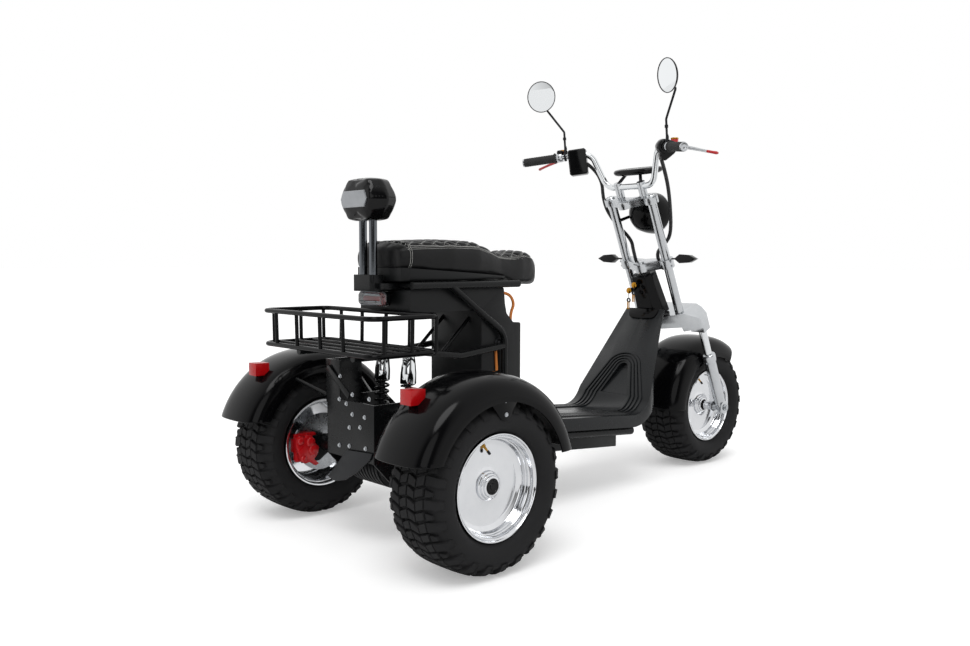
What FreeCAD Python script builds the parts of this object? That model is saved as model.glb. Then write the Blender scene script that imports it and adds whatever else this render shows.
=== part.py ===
import FreeCAD, Part
import math
import os
import Sketcher
from FreeCAD import Placement, Rotation, Vector

# A three-wheeled electric trike with a raked chopper fork, built as separate pieces.
# Millimetres. Modelled with the rear axle over y = 0, forward along +Y, the rider's right along +X
# and the ground at z = 0, then set back so that the middle of the footprint is at y = 0.

os.makedirs("parts", exist_ok=True)
doc = FreeCAD.newDocument("trike")

# Driving sizes, one row each: alias, value.
SIZES = {
    # wheels and tyres
    "wheelbase": 1530.0,
    "track_half": 400.0,
    "tyre_radius": 230.0,
    "tyre_half_width": 104.0,
    "tyre_tread_depth": 9.0,
    "tyre_crown_half": 64.0,
    "rim_lip_radius": 139.0,
    "rim_lip_height": 12.0,
    "rim_lip_thickness": 5.0,
    "rim_half_width": 80.0,
    "rim_wall": 5.0,
    "rim_step_depth": 26.0,
    "rim_disc_inset": 34.0,
    "rim_disc_thickness": 10.0,
    "hub_radius": 38.0,
    "hub_reach": 46.0,
    "axle_radius": 10.0,
    "axle_fit": 0.05,
    "disc_radius": 90.0,
    "disc_hole_radius": 20.0,
    "disc_thickness": 4.0,
    "disc_offset": 66.0,
    "caliper_gap": 2.5,
    "caliper_cheek": 12.0,
    "caliper_over": 14.0,
    "caliper_height": 88.0,
    # steering and fork
    "head_setback": 343.0,
    "head_height": 798.0,
    "fork_rake": 24.0,
    "steering_stop": 30.0,
    "steering_clearance": 5.5,
    "stem_radius": 15.0,
    "stem_fit": 0.05,
    "head_tube_radius": 26.0,
    "head_tube_top": 44.0,
    "head_tube_length": 174.0,
    "tube_half_spacing": 91.5,
    "tube_forward": 38.0,
    "tube_radius": 16.5,
    "upper_clamp_rise": 216.0,
    "upper_clamp_thickness": 26.0,
    "lower_clamp_drop": 38.0,
    "lower_clamp_thickness": 34.0,
    "clamp_ring_wall": 9.0,
    "clamp_web": 34.0,
    "crown_gap": 6.0,
    "crown_thickness": 55.0,
    "crown_half_width": 166.0,
    "crown_end_drop": 36.0,
    "crown_boss_drop": 38.0,
    "crown_boss_radius": 29.0,
    "leg_half_spacing": 137.0,
    "leg_forward": 88.0,
    "leg_radius": 22.0,
    "leg_collar_radius": 26.0,
    "leg_collar_height": 30.0,
    "stanchion_radius": 15.0,
    "stanchion_show": 118.0,
    "axle_lug_radius": 25.0,
    "axle_lug_below": 12.0,
    # front fender
    "front_fender_radius": 277.0,
    "front_fender_half": 116.0,
    "front_fender_skirt": 205.0,
    "fender_sheet": 4.0,
    # handlebar and controls
    "bar_forward": 52.0,
    "bar_rise": 278.0,
    "bar_radius": 11.0,
    "bar_base_half": 105.0,
    "bar_bend_out": 154.0,
    "bar_bend_back": 42.0,
    "bar_bend_up": 130.0,
    "bar_end_out": 363.0,
    "bar_end_back": 184.0,
    "bar_end_up": 99.0,
    "bar_bend_radius": 48.0,
    "riser_half_spacing": 53.0,
    "riser_radius": 15.0,
    "riser_cap_half": 17.0,
    "grip_length": 122.0,
    "grip_radius": 16.0,
    "grip_flange_radius": 20.0,
    "control_gap": 24.0,
    "housing_length": 68.0,
    "switch_ahead": 23.0,
    "switch_behind": 23.0,
    "switch_above": 21.0,
    "switch_below": 75.0,
    "throttle_ahead": 44.0,
    "throttle_behind": 18.0,
    "throttle_above": 26.0,
    "throttle_below": 52.0,
    "housing_chamfer": 5.5,
    "perch_length": 24.0,
    "perch_radius": 17.0,
    "lever_reach": 56.0,
    "lever_length": 132.0,
    "lever_thickness": 6.0,
    "lever_spread": 36.0,
    "mirror_lean": 8.0,
    "mirror_foot_height": 92.0,
    "mirror_radius": 57.0,
    "mirror_depth": 12.0,
    "mirror_glass": 3.0,
    "mirror_out": 286.0,
    "mirror_behind_bar": 176.0,
    "mirror_above_bar": 339.0,
    "mirror_yaw": 20.0,
    "mirror_pitch": 8.0,
    "mirror_stalk_radius": 4.0,
    "display_half_width": 98.0,
    "display_half_depth": 68.0,
    "display_thickness": 24.0,
    "display_above_bar": 59.0,
    "display_ahead": 46.0,
    "display_tilt": 9.0,
    "headlight_radius": 77.0,
    "headlight_length": 112.0,
    "headlight_forward": 122.0,
    "headlight_rise": 146.0,
    "signal_half_length": 45.0,
    "signal_out": 140.0,
    "signal_height": 30.0,
    # footboard, deck and neck
    "deck_half_width": 166.0,
    "deck_rear": 400.0,
    "deck_bend_setback": 525.0,
    "deck_height_rear": 312.0,
    "deck_height_front": 262.0,
    "deck_thickness": 42.0,
    "apron_setback": 308.0,
    "apron_drop": 176.0,
    "apron_top_half": 80.0,
    "rib_height": 5.0,
    "rib_width": 8.0,
    "rib_pitch": 17.0,
    "recess_radius": 26.0,
    "arch_centre_drop": 132.0,
    "arch_foot_rise": 56.0,
    "deck_bend_radius": 90.0,
    "battery_half_width": 116.0,
    "battery_rear": 500.0,
    "battery_setback": 85.0,
    "battery_depth": 72.0,
    "frame_tube_radius": 15.0,
    "deck_tube_setback": 60.5,
    "frame_rail_half": 134.0,
    # seat box and saddle
    "seat_box_half_width": 118.0,
    "seat_box_rear": 4.0,
    "seat_box_front": 368.0,
    "seat_box_depth": 65.7,
    "seat_box_slant": 30.0,
    "column_rear": 276.0,
    "column_front": 440.0,
    "column_drop": 109.7,
    "column_bottom": 317.3,
    "column_rib": 7.0,
    "seat_rail_radius": 11.0,
    "seat_rail_front": 415.0,
    "brace_top_y": 140.0,
    "brace_drop": 150.0,
    "frame_post_y": 356.0,
    "arm_drop": 111.3,
    "arm_radius": 10.0,
    "post_tube_radius": 10.6,
    "cross_tube_radius": 9.4,
    "arm_dip": 18.0,
    "arm_rear": -200.0,
    "gusset_half": 60.0,
    "gusset_y": 165.0,
    "saddle_rear": -28.0,
    "saddle_front": 612.0,
    "saddle_half_width": 142.0,
    "saddle_base": 744.3,
    "saddle_height": 120.0,
    # backrest and tail
    "post_half_spacing": 24.0,
    "post_radius": 11.5,
    "post_y": -52.0,
    "post_rise": 12.7,
    "pad_half_width": 96.0,
    "pad_half_depth": 48.0,
    "pad_height": 117.0,
    "pad_rise": 158.0,
    "panel_half_width": 62.0,
    "panel_height": 46.0,
    "panel_thickness": 3.0,
    "tail_light_half": 62.0,
    "tail_light_height": 42.0,
    "tail_light_depth": 32.0,
    "tail_light_drop": 17.0,
    "tail_light_back": -17.0,
    # looms and lead
    "loom_radius": 7.0,
    "lead_radius": 3.5,
    "lead_across": 95.0,
    "lead_loop_reach": 68.0,
    "lead_loop_height": 92.0,
    # luggage basket
    "basket_half_width": 272.0,
    "basket_rear": -236.0,
    "basket_front": -14.0,
    "basket_depth": 96.0,
    "basket_tube_radius": 6.0,
    "basket_bar_radius": 4.5,
    "basket_taper": 2.0,
    "basket_corner": 34.0,
    # rear fenders and reflectors
    "rear_fender_radius": 292.0,
    "rear_fender_half": 110.0,
    "rear_fender_skirt": 222.0,
    "reflector_across": 378.0,
    "reflector_along": -191.0,
    "reflector_up": 471.0,
    "reflector_width": 42.0,
    "reflector_height": 38.0,
    "reflector_depth": 23.0,
    # rear carrier and drive
    "axle_tube_radius": 27.0,
    "axle_socket": 30.0,
    "drive_radius": 78.0,
    "drive_half_width": 92.0,
    "carrier_half_width": 112.0,
    "carrier_plate": 6.0,
    "carrier_rear": -118.0,
    "carrier_top": 408.0,
    "carrier_horn_share": 0.7273,
    "carrier_horn_out": -120.0,
    "carrier_horn_in": -50.0,
    "carrier_waist": 205.0,
    "pivot_eye": 27.0,
    "pivot_tube_radius": 12.5,
    "shock_half_spacing": 62.0,
    "shock_radius": 24.0,
    "shock_low_y": 34.0,
    "shock_high_y": 45.0,
    "fender_rear_cut": 322.0,
    "fender_front_cut": 298.0,
    "overrun": 5.0,
    "seat_gap": 0.3,
}
# Flat sides of a basket rod.
ROD_SIDES = 8
# Sizes that follow from the driving ones, one row each: alias, formula.
FOLLOWING = {
    "deck_bend": "=wheelbase - deck_bend_setback",
    "apron_top_y": "=wheelbase - apron_setback",
    "apron_top_z": "=head_height - apron_drop",
    "battery_front": "=deck_bend - battery_setback",
    "seat_rail_height": "=saddle_base - seat_gap - seat_rail_radius",
    "seat_box_top": "=seat_rail_height - seat_rail_radius - seat_gap",
    "seat_box_bottom": "=seat_box_top - seat_box_depth",
    "column_top": "=seat_box_top - column_drop",
    "brace_bend_z": "=seat_rail_height - brace_drop",
    "arm_height": "=seat_box_bottom - arm_drop",
    "tail_light_top": "=seat_rail_height - tail_light_drop",
    "post_bottom": "=saddle_base + post_rise",
    "post_length": "=pad_rise + 2 * overrun",
    "pad_bottom": "=post_bottom + pad_rise",
    "basket_bottom": f"=arm_height + arm_radius + basket_tube_radius * cos(180 deg / {ROD_SIDES}) + seat_gap",
    "basket_top": "=basket_bottom + basket_depth",
    "carrier_horn_top": "=carrier_top + (basket_bottom - carrier_top) * carrier_horn_share",
}
sheet = doc.addObject("Spreadsheet::Sheet", "Sizes")
for row, (alias, value) in enumerate({**SIZES, **FOLLOWING}.items(), start=1):
    sheet.set(f"A{row}", alias)
    sheet.set(f"B{row}", str(value))
    sheet.setAlias(f"B{row}", alias)
doc.recompute()


class Sheet:
    """Reads a driving size from the spreadsheet by its alias."""

    def __getattr__(self, alias):
        return float(sheet.get(alias))


size = Sheet()
PIECES = {}

# Angles in degrees, counted about a wheel's axle from straight ahead, up and over to the rear.
REAR_FENDER_FROM, REAR_FENDER_TO = 8.0, 168.0
FRONT_FENDER_FROM, FRONT_FENDER_TO = 44.0, 178.0
# How far the whole trike is set back so that the footprint's middle is at y = 0.
REAR_REACH = "sqrt(Sizes.rear_fender_radius ^ 2 - (Sizes.fender_rear_cut - Sizes.tyre_radius) ^ 2)"
MIDDLE = f"(Sizes.wheelbase + Sizes.tyre_radius - {REAR_REACH}) / 2"
X_AXIS, Y_AXIS, Z_AXIS = Vector(1, 0, 0), Vector(0, 1, 0), Vector(0, 0, 1)
ORIGIN = Vector(0, 0, 0)


def value(expression):
    """The number that an expression on the spreadsheet gives."""
    return float(sheet.evalExpression(expression))


def place(piece, across="0", along="0", up="0", rake=False):
    """Puts a sub-part at (across, along, up), and leans it back with the fork when rake is set."""
    piece.setExpression(".Placement.Base.x", across)
    piece.setExpression(".Placement.Base.y", f"{along} - {MIDDLE}")
    piece.setExpression(".Placement.Base.z", up)
    if rake:
        piece.Placement.Rotation = Rotation(X_AXIS, size.fork_rake)
        piece.setExpression(".Placement.Rotation.Angle", "Sizes.fork_rake * 1 deg")
    return piece


def place_on_fork(piece):
    """Puts a sub-part modelled upright about the steering axis onto that axis."""
    return place(piece, "0", "Sizes.wheelbase - Sizes.head_setback", "Sizes.head_height", rake=True)


def settled(shape):
    """The shape with its own placement worked into its surfaces."""
    matrix = shape.Placement.toMatrix()
    flat = shape.copy()
    flat.Placement = Placement()
    flat.transformShape(matrix, True)
    return flat


def feature(label, shape):
    """A sub-part whose form only Part's own functions give."""
    piece = doc.addObject("Part::Feature", label)
    piece.Label = label
    piece.Shape = settled(shape)
    PIECES[label] = piece
    return piece


def new_body(label):
    """An empty PartDesign body that becomes a sub-part."""
    piece = doc.addObject("PartDesign::Body", label)
    piece.Label = label
    PIECES[label] = piece
    return piece


def outline(body, name, plane_role, corners):
    """A closed sketch of straight lines through corners, each bound to a pair of expressions."""
    sketch = body.newObject("Sketcher::SketchObject", name)
    plane = next(item for item in body.Origin.OriginFeatures if item.Role == plane_role)
    sketch.AttachmentSupport = (plane, [""])
    sketch.MapMode = "FlatFace"
    points = [Vector(value(a), value(b), 0) for a, b in corners]
    count = len(points)
    for index in range(count):
        sketch.addGeometry(Part.LineSegment(points[index], points[(index + 1) % count]), False)
    for index in range(count):
        sketch.addConstraint(Sketcher.Constraint("Coincident", index, 2, (index + 1) % count, 1))
    for index, pair in enumerate(corners):
        for kind, expression, axis in (("DistanceX", pair[0], -2), ("DistanceY", pair[1], -1)):
            if expression == "0":
                sketch.addConstraint(Sketcher.Constraint("PointOnObject", index, 1, axis))
                continue
            number = sketch.addConstraint(Sketcher.Constraint(kind, -1, 1, index, 1, value(expression)))
            sketch.setExpression(f"Constraints[{number}]", expression)
    return sketch


def revolved(label, corners, name="Section"):
    """A body turned about the X axis from a section given as (along the axle, radius) pairs."""
    body = new_body(label)
    section = outline(body, name, "XY_Plane", corners)
    turned = body.newObject("PartDesign::Revolution", "Turned")
    turned.Profile = section
    turned.ReferenceAxis = (section, ["H_Axis"])
    turned.Angle = 360.0
    section.Visibility = False
    return body


def padded(label, plane_role, corners, length, midplane=True):
    """A body padded from a sketch by the length expression."""
    body = new_body(label)
    section = outline(body, "Outline", plane_role, corners)
    pad = body.newObject("PartDesign::Pad", "Pad")
    pad.Profile = section
    pad.setExpression("Length", length)
    pad.Midplane = midplane
    return body


def polygon(points):
    return Part.Face(Part.makePolygon([Vector(*point) for point in points] + [Vector(*points[0])]))


# The most of a straight run that an arc at one of its ends may take.
RUN_SHARE = 0.45


def rounded_path(points, radius):
    """Straight runs through points, joined by tangent arcs of the given radius."""
    points = [Vector(*point) for point in points]
    edges = []
    start = points[0]
    for before, corner, after in zip(points, points[1:], points[2:]):
        inward = (before - corner).normalize()
        outward = (after - corner).normalize()
        half = (math.pi - inward.getAngle(outward)) / 2
        reach = radius * math.tan(half)
        reach = min(reach, RUN_SHARE * (before - corner).Length, RUN_SHARE * (after - corner).Length)
        first, last = corner + inward * reach, corner + outward * reach
        bulge = reach / math.tan(half)
        bisector = (inward + outward).normalize()
        centre = corner + bisector * math.hypot(bulge, reach)
        middle = centre - bisector * bulge
        edges.append(Part.LineSegment(start, first).toShape())
        edges.append(Part.Arc(first, middle, last).toShape())
        start = last
    edges.append(Part.LineSegment(start, points[-1]).toShape())
    return Part.Wire(edges)


def rod(points, radius, bend=0.0):
    """A round rod or tube's outer form along a path."""
    if len(points) == 2:
        start, end = Vector(*points[0]), Vector(*points[1])
        return Part.makeCylinder(radius, (end - start).Length, start, end - start)
    path = rounded_path(points, bend)
    start, ahead = Vector(*points[0]), Vector(*points[1])
    ring = Part.Wire(Part.makeCircle(radius, start, ahead - start))
    return path.makePipeShell([ring], True, False)


def flat_rod(points, radius, sides=ROD_SIDES):
    """A rod of several flat sides along straight runs with mitred corners."""
    points = [Vector(*point) for point in points]
    ahead = (points[1] - points[0]).normalize()
    across = ahead.cross(Z_AXIS if abs(ahead.z) < 0.9 else X_AXIS).normalize()
    over = across.cross(ahead)
    turn = 2 * math.pi / sides
    ring_points = [points[0] + (across * math.cos(turn * (k + 0.5)) + over * math.sin(turn * (k + 0.5))) * radius
                   for k in range(sides)]
    ring = Part.makePolygon(ring_points + [ring_points[0]])
    if len(points) == 2:
        return Part.Face(ring).extrude(points[1] - points[0])
    return Part.makePolygon(points).makePipeShell([ring], True, False, 1)


def mirrored(shape):
    """The same shape on the other side of the trike."""
    return shape.mirror(ORIGIN, X_AXIS)


def both_sides(shape):
    return [shape, mirrored(shape)]


def fuse(shapes):
    """Joins shapes into one and drops the seams between them."""
    return shapes[0].fuse(list(shapes[1:])).removeSplitter()


def block(across, along, up):
    """A box between three (low, high) pairs."""
    low = Vector(across[0], along[0], up[0])
    return Part.makeBox(across[1] - across[0], along[1] - along[0], up[1] - up[0], low)


def rounded_box(across, along, up, radius, axis=Z_AXIS):
    """A box whose edges along one axis are rounded."""
    box = block(across, along, up)
    edges = [edge for edge in box.Edges if abs(edge.tangentAt(0).dot(axis)) > 0.99]
    return box.makeFillet(radius, edges)


# A mudguard's section as shares: (across the half width, down from crown to skirt).
FENDER_SHARES = [(0.0, 0.0), (0.38, 0.03), (0.68, 0.12), (0.88, 0.32), (0.98, 0.62), (1.0, 1.0)]


def fender(radius, half_width, skirt_radius, thickness, angle_from, angle_to):
    """A crowned mudguard about the X axis with skirts down both sides."""
    def line(inset):
        right = [(share * (half_width - inset), radius - inset - down * (radius - inset - skirt_radius))
                 for share, down in FENDER_SHARES]
        return [(-x, r) for x, r in reversed(right[1:])] + right

    corners = line(0.0) + list(reversed(line(thickness)))
    section = polygon([(x, r, 0) for x, r in corners])
    section.rotate(ORIGIN, X_AXIS, angle_from)
    return section.revolve(ORIGIN, X_AXIS, angle_to - angle_from)


# Wheels: a rim turned from one section, a ribbed off-road tyre and a brake disc.
SIDES = {"left": -1, "right": 1}
STEER_STEPS = 3
LUG_COUNT = 24


def tyre(label):
    """Off-road tyre built of flat-sided sectors, with shoulder lugs that stand up in turn left and right."""
    half, tread = size.tyre_half_width, size.tyre_tread_depth
    outside, lip = size.tyre_radius, size.rim_lip_radius
    bead, well = size.rim_half_width, lip - size.rim_lip_height
    base, crown = outside - tread, size.tyre_crown_half
    belly_share, foot_share, shoulder_share, band_share = 0.42, 0.62, 0.80, 0.4
    flat = math.cos(math.radians(90.0 / LUG_COUNT))
    well, lip = (well + size.seat_gap) / flat, (lip + size.seat_gap) / flat
    wall = outside - lip
    wall_low = [(bead, well), (bead, lip), (half - tread / 3, lip + belly_share * wall),
                (half - tread / 3, lip + foot_share * wall)]
    plain = [(half - tread, lip + shoulder_share * wall), (crown, base)]
    raised = [(half, lip + foot_share * wall + tread), (half - tread / 2, outside - tread), (crown, outside), plain[1]]
    band = [(band_share * crown, outside)]
    low = wall_low + plain + band
    high = wall_low + raised + band
    step = math.radians(180.0 / LUG_COUNT)

    def at(point, sign, station):
        angle = step * station
        return Vector(sign * point[0], point[1] * math.cos(angle), point[1] * math.sin(angle))

    def face(points):
        return Part.Face(Part.makePolygon(points + [points[0]]))

    faces = []
    for station in range(2 * LUG_COUNT):
        for sign, is_raised in ((1, station % 2 == 0), (-1, station % 2 == 1)):
            side = high if is_raised else low
            for first, last in zip(side, side[1:]):
                faces.append(face([at(first, sign, station), at(last, sign, station),
                                   at(last, sign, station + 1), at(first, sign, station + 1)]))
            lug_end = [wall_low[-1]] + raised + [plain[0]]
            faces.append(face([at(point, sign, station) for point in lug_end]))
        for point in (band[0], wall_low[0]):
            faces.append(face([at(point, -1, station), at(point, 1, station),
                               at(point, 1, station + 1), at(point, -1, station + 1)]))
    shell = Part.makeShell(faces)
    shell.sewShape()
    solid = Part.makeSolid(shell)
    if solid.Volume < 0:
        solid.reverse()
    return feature(label, solid)


def rim(label, disc_side):
    """Deep-dish rim: a stepped barrel with lips, a flat centre disc and a stepped hub."""
    lip, lip_height = "Sizes.rim_lip_radius", "Sizes.rim_lip_height"
    seat = f"({lip} - {lip_height})"
    well = f"({seat} - Sizes.rim_step_depth)"
    bead, wall = "Sizes.rim_half_width", "Sizes.rim_wall"
    lip_out = f"({bead} + Sizes.rim_lip_thickness)"
    disc = "Sizes.rim_disc_inset"
    disc_back = f"({disc} - Sizes.rim_disc_thickness)"
    bore = "(Sizes.axle_radius + Sizes.axle_fit)"
    hub = "Sizes.hub_radius"
    reach = f"({disc} + Sizes.hub_reach)"
    inner_end = "(Sizes.disc_offset - Sizes.disc_thickness / 2)"
    outer = [
        (f"-{lip_out}", lip), (f"-{bead}", lip), (f"-{bead}", seat),
        (f"-{bead} * 0.7", seat), (f"-{bead} * 0.45", well), (f"{bead} * 0.45", well),
        (f"{bead} * 0.7", seat), (bead, seat), (bead, lip), (lip_out, lip),
    ]
    inner = [
        (lip_out, f"{seat} - {wall}"), (f"{bead} * 0.7 + {wall}", f"{seat} - {wall}"),
        (f"{bead} * 0.45 + {wall}", f"{well} - {wall}"), (disc, f"{well} - {wall}"),
        (disc, f"{hub} * 1.6"), (f"{disc} + {wall}", hub), (f"{disc} + {wall} * 4", hub),
        (f"{disc} + {wall} * 5", f"{hub} * 0.8"), (reach, f"{hub} * 0.7"), (reach, bore),
        (f"-{inner_end}", bore), (f"-{inner_end}", f"{hub} * 0.8"), (f"{disc_back} - 2 * {wall}", f"{hub} * 0.8"),
        (disc_back, f"{hub} * 1.2"),
        (disc_back, f"{well} - {wall}"), (f"-{bead} * 0.45 - {wall}", f"{well} - {wall}"),
        (f"-{bead} * 0.7 - {wall}", f"{seat} - {wall}"), (f"-{lip_out}", f"{seat} - {wall}"),
    ]
    corners = outer + inner
    if disc_side < 0:
        corners = [(f"-({x})", r) for x, r in corners]
    return revolved(label, corners)


def brake_disc(label, offset):
    low, high = f"{offset} - Sizes.disc_thickness / 2", f"{offset} + Sizes.disc_thickness / 2"
    return revolved(label, [
        (low, "Sizes.disc_hole_radius"), (low, "Sizes.disc_radius"),
        (high, "Sizes.disc_radius"), (high, "Sizes.disc_hole_radius"),
    ])


for side_name, sign in SIDES.items():
    across = f"{sign} * Sizes.track_half"
    place(tyre(f"tyre_rear_{side_name}"), across, "0", "Sizes.tyre_radius")
    place(rim(f"rim_rear_{side_name}", sign), across, "0", "Sizes.tyre_radius")
    place(brake_disc(f"disc_rear_{side_name}", f"{-sign} * Sizes.disc_offset"), across, "0", "Sizes.tyre_radius")
place(tyre("tyre_front"), "0", "Sizes.wheelbase", "Sizes.tyre_radius")
place(rim("rim_front", 1), "0", "Sizes.wheelbase", "Sizes.tyre_radius")
place(brake_disc("disc_front", "-Sizes.disc_offset"), "0", "Sizes.wheelbase", "Sizes.tyre_radius")


# Fork: worked out upright about the steering axis, with +Y forward of it and the lower clamp's top at z = 0.
rake = math.radians(size.fork_rake)


def on_fork(along, up):
    """Turns a place in the trike's own side view into (forward of, along) the steering axis."""
    dy = along - (size.wheelbase - size.head_setback)
    dz = up - size.head_height
    return dy * math.cos(rake) + dz * math.sin(rake), dz * math.cos(rake) - dy * math.sin(rake)


def off_fork(forward, rise):
    """The reverse of on_fork."""
    along = size.wheelbase - size.head_setback + forward * math.cos(rake) - rise * math.sin(rake)
    return along, size.head_height + forward * math.sin(rake) + rise * math.cos(rake)


def off_fork_shape(shape):
    """A shape modelled about the steering axis, moved to where the fork stands before the setback."""
    moved = shape.copy()
    moved.Placement = Placement(Vector(0, *off_fork(0, 0)), Rotation(X_AXIS, size.fork_rake))
    return settled(moved)


axle_forward, axle_rise = on_fork(size.wheelbase, size.tyre_radius)
head_bottom = -size.head_tube_top - size.head_tube_length
crown_top = head_bottom - size.crown_gap
crown_bottom = crown_top - size.crown_thickness
boss_bottom = crown_bottom - size.crown_boss_drop
leg_top = boss_bottom - size.stanchion_show


def clamp_plate(bottom, thickness, ring_radius):
    """A fork clamp: a ring round each tube and a waisted web between them."""
    spacing, forward = size.tube_half_spacing, size.tube_forward
    base = Vector(0, 0, bottom)
    rings = [Part.makeCylinder(ring_radius, thickness, Vector(side * spacing, forward, bottom))
             for side in (-1, 1)]
    web = size.clamp_web
    hub = Part.makeCylinder(size.head_tube_radius, thickness, base)
    front_share, waist_share = 0.35, 0.5
    corners = [
        (-spacing, forward - web * front_share, bottom), (0, -size.stem_radius, bottom),
        (spacing, forward - web * front_share, bottom), (spacing, forward + web * front_share, bottom),
        (0, forward * waist_share + web * waist_share, bottom), (-spacing, forward + web * front_share, bottom),
    ]
    plate = polygon(corners).extrude(Vector(0, 0, thickness))
    body = fuse([plate, hub] + rings)
    holes = [Part.makeCylinder(size.tube_radius, thickness + 2 * size.overrun,
                               Vector(side * spacing, forward, bottom - size.overrun)) for side in (-1, 1)]
    return body.cut(holes)


def crown_plan():
    """The crown's outline seen along the steering axis."""
    spacing, wide = size.tube_half_spacing, size.crown_half_width
    leg_out, leg_ahead, boss = size.leg_half_spacing, size.leg_forward, size.crown_boss_radius
    waist = -size.stem_radius - size.clamp_ring_wall / 2
    rear = size.tube_forward - size.tube_radius - size.clamp_ring_wall
    shoulder_share = 0.62
    right = [
        (size.head_tube_radius, waist), (spacing, rear), (wide, leg_ahead * shoulder_share),
        (wide, leg_ahead + boss / 2), (leg_out, leg_ahead + boss),
    ]
    return right + [(-x, y) for x, y in reversed(right)]


def steering_room():
    """The space that the crown and the fork tubes sweep between the steering stops, with their clearance."""
    gap = size.steering_clearance
    low, high = boss_bottom - gap, crown_top + gap
    swept = []
    for step in range(-STEER_STEPS, STEER_STEPS + 1):
        turn = size.steering_stop * step / STEER_STEPS
        crown = polygon([(x, y, low) for x, y in crown_plan()]).makeOffset2D(gap).extrude(Vector(0, 0, high - low))
        for side in (-1, 1):
            foot = Vector(side * size.tube_half_spacing, size.tube_forward, low)
            crown = crown.fuse(Part.makeCylinder(size.tube_radius + gap, size.upper_clamp_rise - low, foot))
        swept.append(crown.rotate(ORIGIN, Z_AXIS, turn))
    return off_fork_shape(fuse(swept))


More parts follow.
